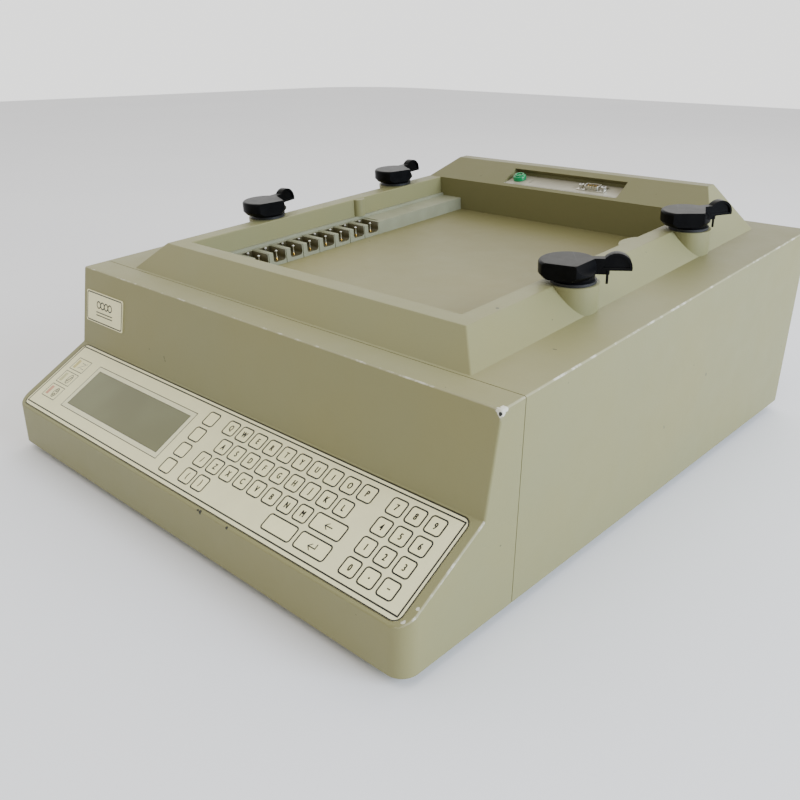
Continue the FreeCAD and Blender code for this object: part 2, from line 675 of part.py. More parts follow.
def make_bay_frame():
    """One moulding: front bar, two rails with clamp bosses, rear box and inner skirt."""
    outside = rounded_solid("frame_rounded", frame_block("frame_outside", 0, "Sizes.box_height"),
                            "Sizes.edge_round", lambda c: c.z > 1)
    hollow_outer = frame_block("frame_hollow", 4.4, "Sizes.hollow_top")
    skirt_block = box("skirt_block", "2 * (Sizes.bay_half + Sizes.skirt)",
                      "Sizes.bay_rear - Sizes.bay_front + 2 * Sizes.skirt", "60",
                      "-Sizes.bay_half - Sizes.skirt", "Sizes.bay_front - Sizes.skirt", "-20")
    hollow = cut("frame_undercut", hollow_outer, skirt_block)
    walls = cut("frame_walls", outside, hollow)
    skirt_outer = box("skirt_outer", "2 * (Sizes.bay_half + Sizes.skirt)",
                      "Sizes.bay_rear - Sizes.bay_front + 2 * Sizes.skirt",
                      "Sizes.bay_depth + Sizes.floor_sheet + 5",
                      "-Sizes.bay_half - Sizes.skirt", "Sizes.bay_front - Sizes.skirt",
                      "-Sizes.bay_depth - Sizes.floor_sheet")
    pieces = [walls, skirt_outer]
    bores = []
    for name, x, along in clamp_spots():
        pieces.append(cylinder("boss_" + name, "Sizes.boss_radius", "Sizes.frame_height",
                               x, along, "0"))
        bores.append(cylinder("boss_bore_" + name, "Sizes.spindle_radius + Sizes.spindle_play",
                              "60", x, along, "-10"))
        bores.append(cylinder("boss_relief_" + name, "10", "14", x, along, "-10"))
    solid = fuse("frame_solid", pieces)
    bay = box("bay_space", "2 * Sizes.bay_half", "Sizes.bay_rear - Sizes.bay_front", "120",
              "-Sizes.bay_half", "Sizes.bay_front", "-40")
    recess = new_body("interlock_recess")
    sine = "sin(Sizes.panel_tilt * 1 deg)"
    cosine = "cos(Sizes.panel_tilt * 1 deg)"
    low_u = f"Sizes.panel_start + Sizes.panel_sheet * {sine}"
    low_v = f"Sizes.panel_rise - Sizes.panel_sheet * {cosine}"
    back_u = f"{low_u} + (Sizes.panel_length + 0.2) * {cosine}"
    back_v = f"{low_v} + (Sizes.panel_length + 0.2) * {sine}"
    above = "Sizes.box_height + 8"
    pad(recess, "interlock_recess_cut", "YZ_Plane", "Sizes.panel_x - Sizes.panel_half",
        "2 * Sizes.panel_half",
        [[(low_u, low_v), (back_u, back_v), (back_u, back_v + " + 4.4"),
          ("Sizes.recess_lip", back_v + " + 8.4"), ("Sizes.recess_lip", above),
          ("Sizes.panel_start", above), ("Sizes.panel_start", "Sizes.panel_rise")]])
    port_hole = box("port_hole", "18", "10.5", "12", "Sizes.port_x - 9", "Sizes.port_up - 5.25",
                    "-10")
    socket_hole = cylinder("socket_hole", "4.9", "12", "Sizes.socket_x", "Sizes.port_up", "-10")
    ports = fuse("port_holes", [port_hole, socket_hole])
    ports.Placement = Placement(
        Vector(0, value("Sizes.panel_start"), value("Sizes.panel_rise")),
        Rotation(Vector(1, 0, 0), value("Sizes.panel_tilt")))
    sharp = cut("frame_opened", solid, fuse("frame_cuts", [bay, recess, ports] + bores))
    top = value("Sizes.frame_height")
    bay_half = value("Sizes.bay_half")
    bay_front = value("Sizes.bay_front")
    opened = rounded_solid(
        "frame_eased", sharp, "Sizes.bay_edge_round",
        lambda c: abs(c.z - top) < 0.01
        and (abs(abs(c.x) - bay_half) < 0.01 or abs(c.y - bay_front) < 0.01))
    narrow_key = cylinder("narrow_key_round", "Sizes.key_radius",
                          "Sizes.frame_height - Sizes.strip_top - 0.5", "-Sizes.bay_half",
                          "Sizes.key_u", "Sizes.strip_top")
    wide_round = cylinder("wide_key_round", "Sizes.wide_key_radius",
                          "Sizes.frame_height - Sizes.strip_top",
                          "Sizes.bay_half - Sizes.wide_key_depth + Sizes.wide_key_radius",
                          "Sizes.wide_key_u", "Sizes.strip_top")
    wide_limit = box("wide_key_limit", "Sizes.wide_key_depth + 1.5", "60", "40",
                     "Sizes.bay_half - Sizes.wide_key_depth", "Sizes.wide_key_u - 30", "0")
    wide_key = common("wide_key", [wide_round, wide_limit])
    keyed = fuse("bay_frame", [opened, narrow_key, wide_key])
    return node("bay_frame", keyed, in_bay)


def contact_rows():
    """u of each contact slot, front to rear; ten on each side of the bay."""
    return [f"Sizes.slot_first + {i} * Sizes.slot_pitch" for i in range(10)]


def mirrored_box(name, side, inner, outer, y, width, z, height):
    """A block between two distances from the middle, on the given side."""
    low = f"-({outer})" if side < 0 else inner
    return box(name, f"({outer}) - ({inner})", width, height, low, y, z)


def make_bay_floor():
    floor = box("floor_sheet_block", "2 * Sizes.bay_half - 0.2",
                "Sizes.bay_rear - Sizes.bay_front - 0.2", "Sizes.floor_sheet",
                "-Sizes.bay_half + 0.1", "Sizes.bay_front + 0.1",
                "-Sizes.bay_depth - Sizes.floor_sheet")
    slots = []
    for side_name, side in SIDES:
        slots.append(mirrored_box("tail_slot_" + side_name, side, "Sizes.ledge_inner + 2",
                                  "Sizes.bay_half - 6", "Sizes.bay_front + 5", "195",
                                  "-Sizes.bay_depth - 5", "10"))
    return node("bay_floor", cut("bay_floor", floor, fuse("tail_slots", slots)), in_bay)


def make_ledges_and_contacts():
    depth = "Sizes.ledge_top + Sizes.bay_depth"
    # a block ends just behind its slot, so the last one gives the start of the shelf
    behind = " + Sizes.slot_width / 2 + Sizes.block_lip"
    rear_start = "Sizes.slot_first + 9 * Sizes.slot_pitch" + behind + " + 0.2"
    blocks = []
    pins = []
    for side_name, side in SIDES:
        strip = mirrored_box("strip_" + side_name, side,
                             "Sizes.bay_half - Sizes.strip_width", "Sizes.bay_half - 0.1",
                             "Sizes.bay_front + 0.1",
                             "Sizes.bay_rear - Sizes.bay_front - 0.2", "-Sizes.bay_depth",
                             "Sizes.strip_top + Sizes.bay_depth")
        shelf = mirrored_box("shelf_" + side_name, side, "Sizes.ledge_inner",
                             "Sizes.bay_half - 1", rear_start,
                             "Sizes.bay_rear - 0.1 - (" + rear_start + ")",
                             "-Sizes.bay_depth", depth)
        groove = mirrored_box("shelf_groove_" + side_name, side, "Sizes.ledge_inner + 5",
                              "Sizes.bay_half - Sizes.strip_width", rear_start + " + 2.4", "2.2",
                              "-2.5", "6")
        ledge = cut("ledge_" + side_name, fuse("ledge_solid_" + side_name, [strip, shelf]),
                    groove)
        node("ledge_" + side_name, ledge, in_bay)
        for i, along in enumerate(contact_rows()):
            tag = f"{side_name}_{i}"
            start = f"{along} - Sizes.slot_pitch{behind} + 0.3"
            if i == 0:
                start = "Sizes.bay_front + 0.15"
            body = mirrored_box("block_" + tag, side, "Sizes.ledge_inner",
                                "Sizes.bay_half - Sizes.strip_width - 0.1", start,
                                f"{along}{behind} - ({start})", "-Sizes.bay_depth", depth)
            slot = mirrored_box("slot_" + tag, side, "Sizes.ledge_inner - 1",
                                "Sizes.slot_reach", f"{along} - Sizes.slot_width / 2",
                                "Sizes.slot_width", "Sizes.ledge_top - Sizes.slot_floor", "20")
            blocks.append(cut("contact_block_" + tag, body, slot))
            for place in ("near", "far"):
                pins.append(mirrored_box(f"pin_{place}_{tag}", side,
                                         f"Sizes.contact_{place} - 0.8",
                                         f"Sizes.contact_{place} + 0.8",
                                         f"{along} - 0.4", "0.8",
                                         "-Sizes.bay_depth - 4", "Sizes.bay_depth + 4.6"))
    pin_set = group("contact_pins", pins)
    block_set = cut("contact_blocks", group("block_set", blocks), group("pin_spaces", pins))
    node("contact_blocks", block_set, in_bay)
    node("contact_pins", pin_set, in_bay)

    boards = []
    for side_name, side in SIDES:
        boards.append(mirrored_box("contact_board_" + side_name, side,
                                   "Sizes.ledge_inner - 3", "Sizes.bay_half - 2",
                                   "Sizes.bay_front + 2", "201",
                                   "-Sizes.bay_depth - 4 - Sizes.board", "Sizes.board"))
    node("contact_boards", group("contact_boards", boards), in_bay)


# ---------------------------------------------------------------- clamps

# angle of each knob at rest, in degrees about the spindle
PARKED = {"front_left": 9, "front_right": -57, "rear_left": 2, "rear_right": -33}
# directions in which the disc's flat and its finger scoop face, from the knob's +X
FLAT_FACES = -21
SCOOP_FACES = 57


def turned_tool(name, primitive, angle):
    """A cutting tool swung about the spindle axis."""
    tool = carried(name, primitive)
    tool.Placement = Placement(Vector(0, 0, 0), Rotation(Vector(0, 0, 1), angle))
    return tool


def knob_disc(name):
    """Disc off the spindle's centre, with one flat side and one scooped side."""
    top = "Sizes.knob_lift + Sizes.knob_height"
    body = new_body("knob_body_" + name)
    profile = sketch(body, "knob_section_" + name, "XZ_Plane", "0")
    draw_polygon(profile, [
        ("0", "Sizes.knob_lift"), ("Sizes.knob_radius - Sizes.knob_bevel_in", "Sizes.knob_lift"),
        ("Sizes.knob_radius", "Sizes.knob_lift + Sizes.knob_bevel_up"),
        ("Sizes.knob_radius", top), ("0", top),
    ])
    turned = body.newObject("PartDesign::Revolution", "knob_turned_" + name)
    turned.Profile = profile
    turned.ReferenceAxis = (profile, ["V_Axis"])
    turned.Angle = 360
    body.Tip = turned
    doc.recompute()
    rim_edges = []
    for index, edge in enumerate(turned.Shape.Edges, start=1):
        if edge.BoundBox.ZMin > value(top) - 0.01:
            rim_edges.append(f"Edge{index}")
    rim = body.newObject("PartDesign::Fillet", "knob_rim_" + name)
    rim.Base = (turned, rim_edges)
    rim.Radius = value("Sizes.knob_rim")
    rim.setExpression("Radius", "Sizes.knob_rim")
    body.Tip = rim
    body.Placement.Base = Vector(value("Sizes.knob_shift_x"), value("Sizes.knob_shift_y"), 0)
    flat = box("knob_flat_block_" + name, "30", "80", "30", "Sizes.flat_distance", "-40", "-5")
    scoop = cylinder("knob_scoop_bar_" + name, "Sizes.scoop_radius", "80",
                     "Sizes.scoop_out", "-40", "Sizes.scoop_up", along="y")
    flattened = cut("knob_flattened_" + name, body,
                    turned_tool("knob_flat_" + name, flat, FLAT_FACES))
    return cut("knob_disc_" + name, flattened,
               turned_tool("knob_scoop_" + name, scoop, SCOOP_FACES))


def knob_beak(name):
    """Blade along +Y with a round raised tip and a shallow thumb hollow on one face."""
    left = "Sizes.beak_left"
    width = "Sizes.beak_width"
    root = box("beak_root_" + name, width, "19", "Sizes.knob_height - 0.6", left, "5",
               "Sizes.knob_lift + 0.6")
    tip = common("beak_tip_" + name, [
        cylinder("beak_round_" + name, "Sizes.beak_radius", width, left, "Sizes.beak_out",
                 "Sizes.beak_up", along="x"),
        box("beak_upper_" + name, width, "30", "20", left, "15", "Sizes.beak_under")])
    near_face = f"{left} + {width}"
    hollow = common("beak_hollow_" + name, [
        cylinder("thumb_round_" + name, "Sizes.thumb_radius", "Sizes.thumb_depth + 1",
                 f"{near_face} - Sizes.thumb_depth", "Sizes.beak_out", "Sizes.beak_up",
                 along="x"),
        box("thumb_upper_" + name, "Sizes.thumb_depth + 1", "30", "20",
            f"{near_face} - Sizes.thumb_depth", "15", "Sizes.beak_up")])
    return cut("knob_beak_" + name, fuse("beak_solid_" + name, [root, tip]), hollow)


def knob_shape(name):
    """Clamp knob: collar, disc, beak and the peg that stops it, bored for the spindle."""
    collar = cylinder("knob_collar_" + name, "Sizes.knob_collar", "Sizes.knob_lift + 1",
                      "0", "0", "0")
    peg = cylinder("knob_peg_" + name, "Sizes.peg_radius", "Sizes.beak_under - Sizes.peg_low",
                   "0", "Sizes.peg_out", "Sizes.peg_low")
    bore = cylinder("knob_bore_" + name, "Sizes.spindle_radius", "Sizes.spindle_grip + 2",
                    "0", "0", "-2")
    whole = fuse("knob_whole_" + name, [collar, knob_disc(name), knob_beak(name), peg])
    return cut("clamp_knob_" + name, whole, bore)


def make_clamps():
    """Each clamp: a fixed ring on the boss, a spindle, its clip and a turning knob."""
    knob_base = "Sizes.frame_height + Sizes.ring_height + Sizes.knob_gap"
    rings = []
    for name, x, along in clamp_spots():
        ring = cut("ring_" + name,
                   cylinder("ring_disc_" + name, "Sizes.ring_radius", "Sizes.ring_height",
                            x, along, "Sizes.frame_height"),
                   cylinder("ring_bore_" + name, "Sizes.spindle_radius + 0.6",
                            "20", x, along, "Sizes.frame_height - 5"))
        rings.append(ring)
        knob = node("clamp_knob_" + name, knob_shape(name))
        in_bay(knob, (x, along, knob_base), turn=PARKED[name])
        shaft = cylinder("spindle_shaft_" + name, "Sizes.spindle_radius",
                         knob_base + " + Sizes.spindle_grip - 1.2", x, along, "1.2")
        clip = cut("spindle_clip_" + name,
                   cylinder("clip_disc_" + name, "9", "1.6", x, along, "2"),
                   cylinder("clip_bore_" + name, "Sizes.spindle_radius", "6", x, along,
                            "0"))
        node("clamp_spindle_" + name, group("clamp_spindle_" + name, [shaft, clip]), in_bay)
    node("clamp_rings", group("clamp_rings", rings), in_bay)


# ---------------------------------------------------------------- interlock panel

def make_interlock():
    plate = new_body("interlock_plate_sheet")
    pad(plate, "interlock_sheet", "XY_Plane", "-Sizes.panel_sheet", "Sizes.panel_sheet",
        [rectangle("Sizes.panel_x - Sizes.panel_half + 0.2", "0.4",
                   "Sizes.panel_x + Sizes.panel_half - 0.2", "Sizes.panel_length")])
    pocket(plate, "interlock_holes", "XY_Plane", "-Sizes.panel_sheet - 1",
           "Sizes.panel_sheet + 2",
           [rectangle("Sizes.port_x - 9", "Sizes.port_up - 5.25", "Sizes.port_x + 9",
                      "Sizes.port_up + 5.25")],
           [("Sizes.socket_x", "Sizes.port_up", "4.9")])
    node("interlock_panel", plate, on_interlock_plate)

    d_outer = [("Sizes.port_x - 8.4", "Sizes.port_up + 4.1"),
               ("Sizes.port_x - 7.2", "Sizes.port_up - 4.1"),
               ("Sizes.port_x + 7.2", "Sizes.port_up - 4.1"),
               ("Sizes.port_x + 8.4", "Sizes.port_up + 4.1")]
    d_inner = [("Sizes.port_x - 7.8", "Sizes.port_up + 3.6"),
               ("Sizes.port_x - 6.7", "Sizes.port_up - 3.6"),
               ("Sizes.port_x + 6.7", "Sizes.port_up - 3.6"),
               ("Sizes.port_x + 7.8", "Sizes.port_up + 3.6")]
    shell = new_body("port_shell_body")
    pad(shell, "port_insulator", "XY_Plane", "-9", "9",
        [rectangle("Sizes.port_x - 8.8", "Sizes.port_up - 5", "Sizes.port_x + 8.8",
                   "Sizes.port_up + 5")])
    pad(shell, "port_flange", "XY_Plane", "0", "0.8",
        [rectangle("Sizes.port_x - 15.4", "Sizes.port_up - 6.2", "Sizes.port_x + 15.4",
                   "Sizes.port_up + 6.2")])
    pad(shell, "port_shell", "XY_Plane", "0.8", "3.4", [d_outer])
    pocket(shell, "port_well", "XY_Plane", "0.8", "7", [d_inner])
    contacts = []
    for row, (count, up) in enumerate(((5, "1.42"), (4, "-1.42"))):
        for i in range(count):
            shift = (i - (count - 1) / 2) * 2.77
            contacts.append(cylinder(f"port_contact_{row}_{i}", "0.5", "2.6",
                                     f"Sizes.port_x + {shift}", f"Sizes.port_up + {up}",
                                     "0.8"))
    node("interlock_connector", group("interlock_connector", [shell] + contacts),
         on_interlock_plate)

    jacks = []
    for side_name, side in SIDES:
        x = f"Sizes.port_x + {side} * Sizes.jack_spacing / 2"
        nut = doc.addObject("Part::Prism", "jack_" + side_name)
        nut.Polygon = 6
        nut.Circumradius = 2.7
        nut.Height = 3
        nut.setExpression("Placement.Base.x", x)
        nut.setExpression("Placement.Base.y", "Sizes.port_up")
        nut.setExpression("Placement.Base.z", "0.8")
        bore = cylinder("jack_bore_" + side_name, "1.3", "8", x, "Sizes.port_up", "0.8")
        jacks.append(cut("jackscrew_" + side_name, nut, bore))
    node("interlock_jackscrews", group("interlock_jackscrews", jacks), on_interlock_plate)

    collar = new_body("earth_socket_body")
    pad(collar, "socket_barrel", "XY_Plane", "-Sizes.socket_depth", "Sizes.socket_depth",
        circles=[("Sizes.socket_x", "Sizes.port_up", "4.8")])
    pad(collar, "socket_flange", "XY_Plane", "0", "4.4",
        circles=[("Sizes.socket_x", "Sizes.port_up", "6.7")])
    sleeve_space = cylinder("sleeve_space", "3.1", "Sizes.socket_depth + 10",
                            "Sizes.socket_x", "Sizes.port_up", "-Sizes.socket_depth + 2")
    node("earth_socket", cut("earth_socket", collar, sleeve_space), on_interlock_plate)
    sleeve = cut("earth_socket_sleeve",
                 cylinder("sleeve_tube", "3.1", "Sizes.socket_depth", "Sizes.socket_x",
                          "Sizes.port_up", "-Sizes.socket_depth + 2"),
                 cylinder("sleeve_bore", "Sizes.socket_bore", "Sizes.socket_depth + 4",
                          "Sizes.socket_x", "Sizes.port_up", "-Sizes.socket_depth + 4"))
    node("earth_socket_sleeve", sleeve, on_interlock_plate)


# ---------------------------------------------------------------- rear panel

def fan_corners():
    half = "Sizes.fan_pitch / 2"
    return [(f"Sizes.fan_x + {i} * {half}", f"Sizes.fan_z + {j} * {half}", f"{k}")
            for k, (i, j) in enumerate(((-1, -1), (1, -1), (1, 1), (-1, 1)))]


def make_rear_panel(panel_screws):
    panel = new_body("rear_panel_plate")
    edge = "Sizes.case_width / 2 - Sizes.wall - 0.4"
    low = CASE_BOTTOM + " + Sizes.wall + 0.2"
    high = outer_top("Sizes.case_depth - Sizes.rear_recess - 4") + " - Sizes.wall - 0.5"
    pad(panel, "rear_sheet", "XZ_Plane", PANEL_FACE + " - Sizes.panel_plate",
        "Sizes.panel_plate", [rectangle("-(" + edge + ")", low, edge, high)])
    openings = [
        rectangle("Sizes.inlet_x - 13.9", "Sizes.inlet_z - 16", "Sizes.inlet_x + 13.9",
                  "Sizes.inlet_z + 16"),
        rectangle("Sizes.switch_x - 6.5", "Sizes.inlet_z - 9.6", "Sizes.switch_x + 6.5",
                  "Sizes.inlet_z + 9.6"),
        rectangle("Sizes.serial_x - 9.2", "Sizes.inlet_z - 5.2", "Sizes.serial_x + 9.2",
                  "Sizes.inlet_z + 5.2"),
        rectangle("Sizes.parallel_x - 20.5", "Sizes.inlet_z - 5.2",
                  "Sizes.parallel_x + 20.5", "Sizes.inlet_z + 5.2"),
    ]
    for column in range(14):
        x = f"{-180 + 13 * column}"
        openings.append(rectangle(x, "108", x + " + 4", "140"))
    rounds = [("Sizes.fan_x", "Sizes.fan_z", "Sizes.fan_bore"),
              ("Sizes.earth_x", "Sizes.inlet_z", "2.5")]
    for x, z, _ in fan_corners():
        rounds.append((x, z, "2.1"))
    pocket(panel, "rear_openings", "XZ_Plane", PANEL_FACE + " - Sizes.panel_plate - 1",
           "Sizes.panel_plate + 2", openings, rounds)
    node("rear_panel", cut("rear_panel_screwed", panel, panel_screws))


def make_mains_inlet():
    """Mains inlet with a fuse drawer above it, and a rocker switch beside it."""
    x = "Sizes.inlet_x"
    z = "Sizes.inlet_z"
    flange = panel_box("inlet_flange", x, z, "32", "37", "0", "2.4")
    barrel = panel_box("inlet_barrel", x, z, "27.4", "31.6", "-24", "24.2")
    well = panel_box("inlet_well", x, z + " - 5.5", "24", "16.4", "-14.5", "30")
    drawer_space = panel_box("drawer_space", x, z + " + 10", "21.4", "8.4", "-22", "40")
    pieces = [cut("inlet_body", fuse("inlet_solid", [flange, barrel]),
                  fuse("inlet_spaces", [well, drawer_space]))]
    for i, (dx, dz) in enumerate((("-7", "-3.2"), ("7", "-3.2"), ("0", "0.8"))):
        pieces.append(panel_box(f"inlet_blade_{i}", f"{x} + {dx}", f"{z} - 5.5 + {dz}",
                                "2", "4", "-14.5", "12.5"))
    node("mains_inlet", group("mains_inlet", pieces))
    tray = panel_box("fuse_tray", x, z + " + 10", "21", "8", "-21.6", "24.4")
    fuse_well = panel_box("fuse_tray_well", x, z + " + 11.8", "17", "6", "-20", "18")
    lip = panel_box("fuse_tray_lip", x, z + " + 10", "23", "8", "2.6", "1.4")
    node("fuse_drawer", fuse("fuse_drawer", [cut("fuse_tray_open", tray, fuse_well), lip]))

    x = "Sizes.switch_x"
    bezel = panel_box("switch_bezel", x, z, "15", "21", "0", "2")
    barrel = panel_box("switch_barrel", x, z, "12.8", "19", "-20", "20.2")
    space = panel_box("switch_space", x, z, "10.6", "17", "-9", "20")
    pivot_hole = cylinder("rocker_pivot_hole", "1.25", "11.8", x + " - 5.9",
                          PANEL_FACE + " - 2", z, along="x")
    node("power_switch_frame",
         cut("power_switch_frame", fuse("switch_solid", [bezel, barrel]),
             fuse("switch_spaces", [space, pivot_hole])))
    wedge = new_body("rocker_wedge")
    pad(wedge, "rocker_side", "YZ_Plane", "-4.9", "9.8",
        [[("-3", "-5"), ("1", "-7.4"), ("4.4", "-7.4"), ("3.2", "0"), ("4.4", "7.4"),
          ("1", "7.4"), ("-3", "5")]])
    pivot = cylinder("rocker_pivot", "1.2", "11.4", "-5.7", "0", "0", along="x")
    rocker = node("power_rocker", fuse("power_rocker", [wedge, pivot]))
    rocker.Placement = Placement(
        Vector(value(x), value(PANEL_FACE) - 2, value(z)),
        Rotation(Vector(1, 0, 0), -value("Sizes.rocker_lean")))


def make_rear_ports():
    """Serial and printer sockets and an earth stud, plain generic types."""
    z = "Sizes.inlet_z"
    pieces = []
    for name, x, half in (("serial", "Sizes.serial_x", 8.2),
                          ("parallel", "Sizes.parallel_x", 19.2)):
        flange = panel_box(name + "_flange", x, z, f"{2 * half + 14.4}", "12.5", "0", "0.8")
        shell = panel_box(name + "_shell", x, z, f"{2 * half}", "7.9", "0.8", "5.4")
        back = panel_box(name + "_back", x, z, f"{2 * half + 1.6}", "10", "-11", "11")
        pieces.append(fuse(name + "_port", [flange, shell, back]))
        for side_name, side in SIDES:
            pieces.append(panel_rod(f"{name}_stud_{side_name}",
                                    f"{x} + {side} * {half + 4.3}", z, "2.5", "0.8", "4.5"))
    node("rear_ports", group("rear_ports", pieces))
    stud = fuse("earth_stud", [panel_rod("stud_rod", "Sizes.earth_x", z, "2.4", "-8", "17"),
                               panel_rod("stud_nut", "Sizes.earth_x", z, "4.5", "0", "4")])
    node("earth_stud", stud)


def make_fan():
    """Exhaust fan: square housing with struts, rotor, wire guard and its screws."""
    inner = "-Sizes.panel_plate - Sizes.fan_depth"
    x = "Sizes.fan_x"
    z = "Sizes.fan_z"
    block = panel_box("fan_block", x, z, "Sizes.fan_size", "Sizes.fan_size", inner,
                      "Sizes.fan_depth")
    bore = panel_rod("fan_bore_cut", x, z, "Sizes.fan_bore", inner + " - 5", "60")
    frame = cut("fan_frame", block, bore)
    struts = [panel_rod("fan_motor_seat", x, z, "17", inner, "3")]
    struts.append(panel_box("fan_strut_across", x, z, "2 * Sizes.fan_bore + 2", "4", inner,
                            "3"))
    struts.append(panel_box("fan_strut_up", x, z, "4", "2 * Sizes.fan_bore + 2", inner, "3"))
    tube = panel_rod("fan_bearing_tube", x, z, "4", inner, "16")
    holes = [panel_rod("fan_shaft_hole", x, z, "1.55", inner + " - 5", "60")]
    for hole_x, hole_z, tag in fan_corners():
        holes.append(panel_rod("fan_hole_" + tag, hole_x, hole_z, "2.1", inner + " - 5", "60"))
    housing = cut("fan_housing", fuse("fan_solid", [frame, tube] + struts),
                  fuse("fan_holes", holes))
    node("fan_housing", housing)

    hub = cut("fan_cup", panel_rod("fan_hub", x, z, "17", inner + " + 4", "19"),
              panel_rod("fan_cup_space", x, z, "15", inner + " + 3", "18"))
    shaft = panel_rod("fan_shaft", x, z, "1.5", inner + " + 1", "21")
    blades = []
    for i in range(7):
        blade = doc.addObject("Part::Box", f"fan_blade_{i}")
        blade.Length = 21
        blade.Width = 19
        blade.Height = 1.4
        pitch = Placement(Vector(0, -9.5, -0.7), Rotation())
        lean = Placement(Vector(15.5, 0, 0), Rotation(Vector(1, 0, 0), 40))
        around = Placement(
            Vector(value(x), value(PANEL_FACE + " + " + inner + " + 13.5"), value(z)),
            Rotation(Vector(0, 1, 0), 360 / 7 * i))
        blade.Placement = around * lean * pitch
        blades.append(blade)
    sweep = panel_rod("fan_sweep", x, z, "36.2", inner, "Sizes.fan_depth")
    trimmed = common("fan_blades", [fuse("fan_blade_set", blades), sweep])
    node("fan_rotor", fuse("fan_rotor", [hub, shaft, trimmed]))

    wires = []
    for i, radius in enumerate((9, 18, 27, 36)):
        ring = doc.addObject("Part::Torus", f"guard_ring_{i}")
        ring.Radius1 = radius
        ring.Radius2 = 0.8
        ring.Placement = Placement(
            Vector(value(x), value(PANEL_FACE + " + 5.2"), value(z)), AXES["y"])
        wires.append(ring)
    for i, angle in enumerate((45, 135)):
        spoke = doc.addObject("Part::Cylinder", f"guard_spoke_{i}")
        spoke.Radius = 0.9
        spoke.Height = 96
        spoke.Placement = Placement(
            Vector(value(x), value(PANEL_FACE + " + 4"), value(z)),
            Rotation(Vector(0, 1, 0), angle)) * Placement(Vector(0, 0, -48), Rotation())
        wires.append(spoke)
    screws = []
    for hole_x, hole_z, tag in fan_corners():
        wires.append(cut("guard_eye_" + tag,
                         panel_rod("guard_pad_" + tag, hole_x, hole_z, "4.6", "0", "4.8"),
                         panel_rod("guard_hole_" + tag, hole_x, hole_z, "2.1", "-1", "9")))
        head = panel_rod("fan_head_" + tag, hole_x, hole_z, "3.6", "4.8", "2")
        shank = panel_rod("fan_shank_" + tag, hole_x, hole_z, "2", "-22", "27")
        screws.append(fuse("fan_screw_" + tag, [head, shank]))
    guard = fuse("fan_guard_wires", wires)
    node("fan_screws", group("fan_screws", screws))
    node("fan_guard", cut("fan_guard", guard, group("fan_screw_tools", screws)))


# ---------------------------------------------------------------- inside

FLOOR = CASE_BOTTOM + " + Sizes.wall + 2"


def make_power_unit():
    """Toroidal mains transformer, supply board, amplifier board and its heat sink."""
    core = cut("mains_transformer",
               cylinder("toroid", "52", "44", "150", "-95", FLOOR),
               cylinder("toroid_hole", "17", "60", "150", "-95", FLOOR + " - 5"))
    node("mains_transformer", core)
    clamp = fuse("transformer_clamp",
                 [cylinder("toroid_plate", "32", "3", "150", "-95", FLOOR + " + 44"),
                  cylinder("toroid_bolt", "4", "52", "150", "-95", FLOOR)])
    node("transformer_clamp", clamp)
    level = FLOOR + " + Sizes.spacer"
    supply = [box("supply_sheet", "160", "140", "Sizes.board", "-205", "85", level)]
    for i in range(4):
        supply.append(cylinder(f"supply_can_{i}", "15", "45", f"{-180 + 36 * i}", "195",
                               level + " + Sizes.board"))
    node("supply_board", group("supply_board", supply))
    amplifier = [box("amplifier_sheet", "170", "95", "Sizes.board", "40", "-10", level)]
    fins = [box("sink_base", "150", "80", "6", "55", "120", FLOOR)]
    for i in range(15):
        fins.append(box(f"sink_fin_{i}", "2", "80", "58", f"{55 + 10.57 * i}", "120",
                        FLOOR + " + 6"))
    node("heat_sink", fuse("heat_sink", fins))
    for i in range(4):
        amplifier.append(box(f"power_transistor_{i}", "16", "5", "21", f"{66 + 34 * i}",
                             "115", FLOOR + " + 8"))
    node("amplifier_board", group("amplifier_board", amplifier))


def make_boards():
    """Main, processor and relay boards with their spacers and side brackets."""
    level = FLOOR + " + Sizes.spacer"
    node("main_board", box("main_board", "225", "205", "Sizes.board", "-205", "-150", level))
    upper = level + " + Sizes.board + 22"
    processor = [box("processor_sheet", "150", "110", "Sizes.board", "-190", "-135", upper)]
    spacers = []
    low_spots = [(-198, -143), (12, -143), (-198, 48), (12, 48), (-198, 92), (-52, 92),
                 (-198, 218), (-52, 218), (47, -3), (203, -3), (47, 78), (203, 78)]
    for i, (x, y) in enumerate(low_spots):
        spacers.append(cylinder(f"board_spacer_{i}", "3", "Sizes.spacer", f"{x}", f"{y}",
                                FLOOR))
    for i, (x, y) in enumerate([(-184, -129), (-46, -129), (-184, -31), (-46, -31)]):
        spacers.append(cylinder(f"stack_spacer_{i}", "3", "22", f"{x}", f"{y}",
                                level + " + Sizes.board"))
    node("board_spacers", group("board_spacers", spacers))
    for i in range(3):
        processor.append(box(f"memory_chip_{i}", "15", "37", "4", f"{-170 + 24 * i}", "-110",
                             upper + " + Sizes.board"))
    processor.append(box("processor_chip", "30", "30", "4", "-90", "-105",
                         upper + " + Sizes.board"))
    node("processor_board", group("processor_board", processor))

    relay = "Sizes.relay_level"
    brackets = []
    for side_name, side in SIDES:
        bracket = new_body("relay_bracket_" + side_name)
        foot = "Sizes.case_width / 2 - Sizes.wall - 3.5"
        shelf_end = "112"
        turn = [(foot, FLOOR), (foot, relay), (shelf_end, relay),
                (shelf_end, relay + " - 1.6"), (foot + " - 1.6", relay + " - 1.6"),
                (foot + " - 1.6", FLOOR)]
        corners = [(f"{side} * ({a})", b) for a, b in turn]
        pad(bracket, "relay_bracket_sheet_" + side_name, "XZ_Plane", "-125", "180", [corners])
        brackets.append(bracket)
    node("relay_brackets", group("relay_brackets", brackets))
    node("relay_board", box("relay_board", "250", "180", "Sizes.board", "-125", "-125", relay))
    relays = []
    for row in range(4):
        for column in range(8):
            relays.append(box(f"relay_{row}_{column}", "20", "10", "11",
                              f"{-112 + 29 * column}", f"{-105 + 40 * row}",
                              relay + " + Sizes.board"))
    node("relays", group("relays", relays))


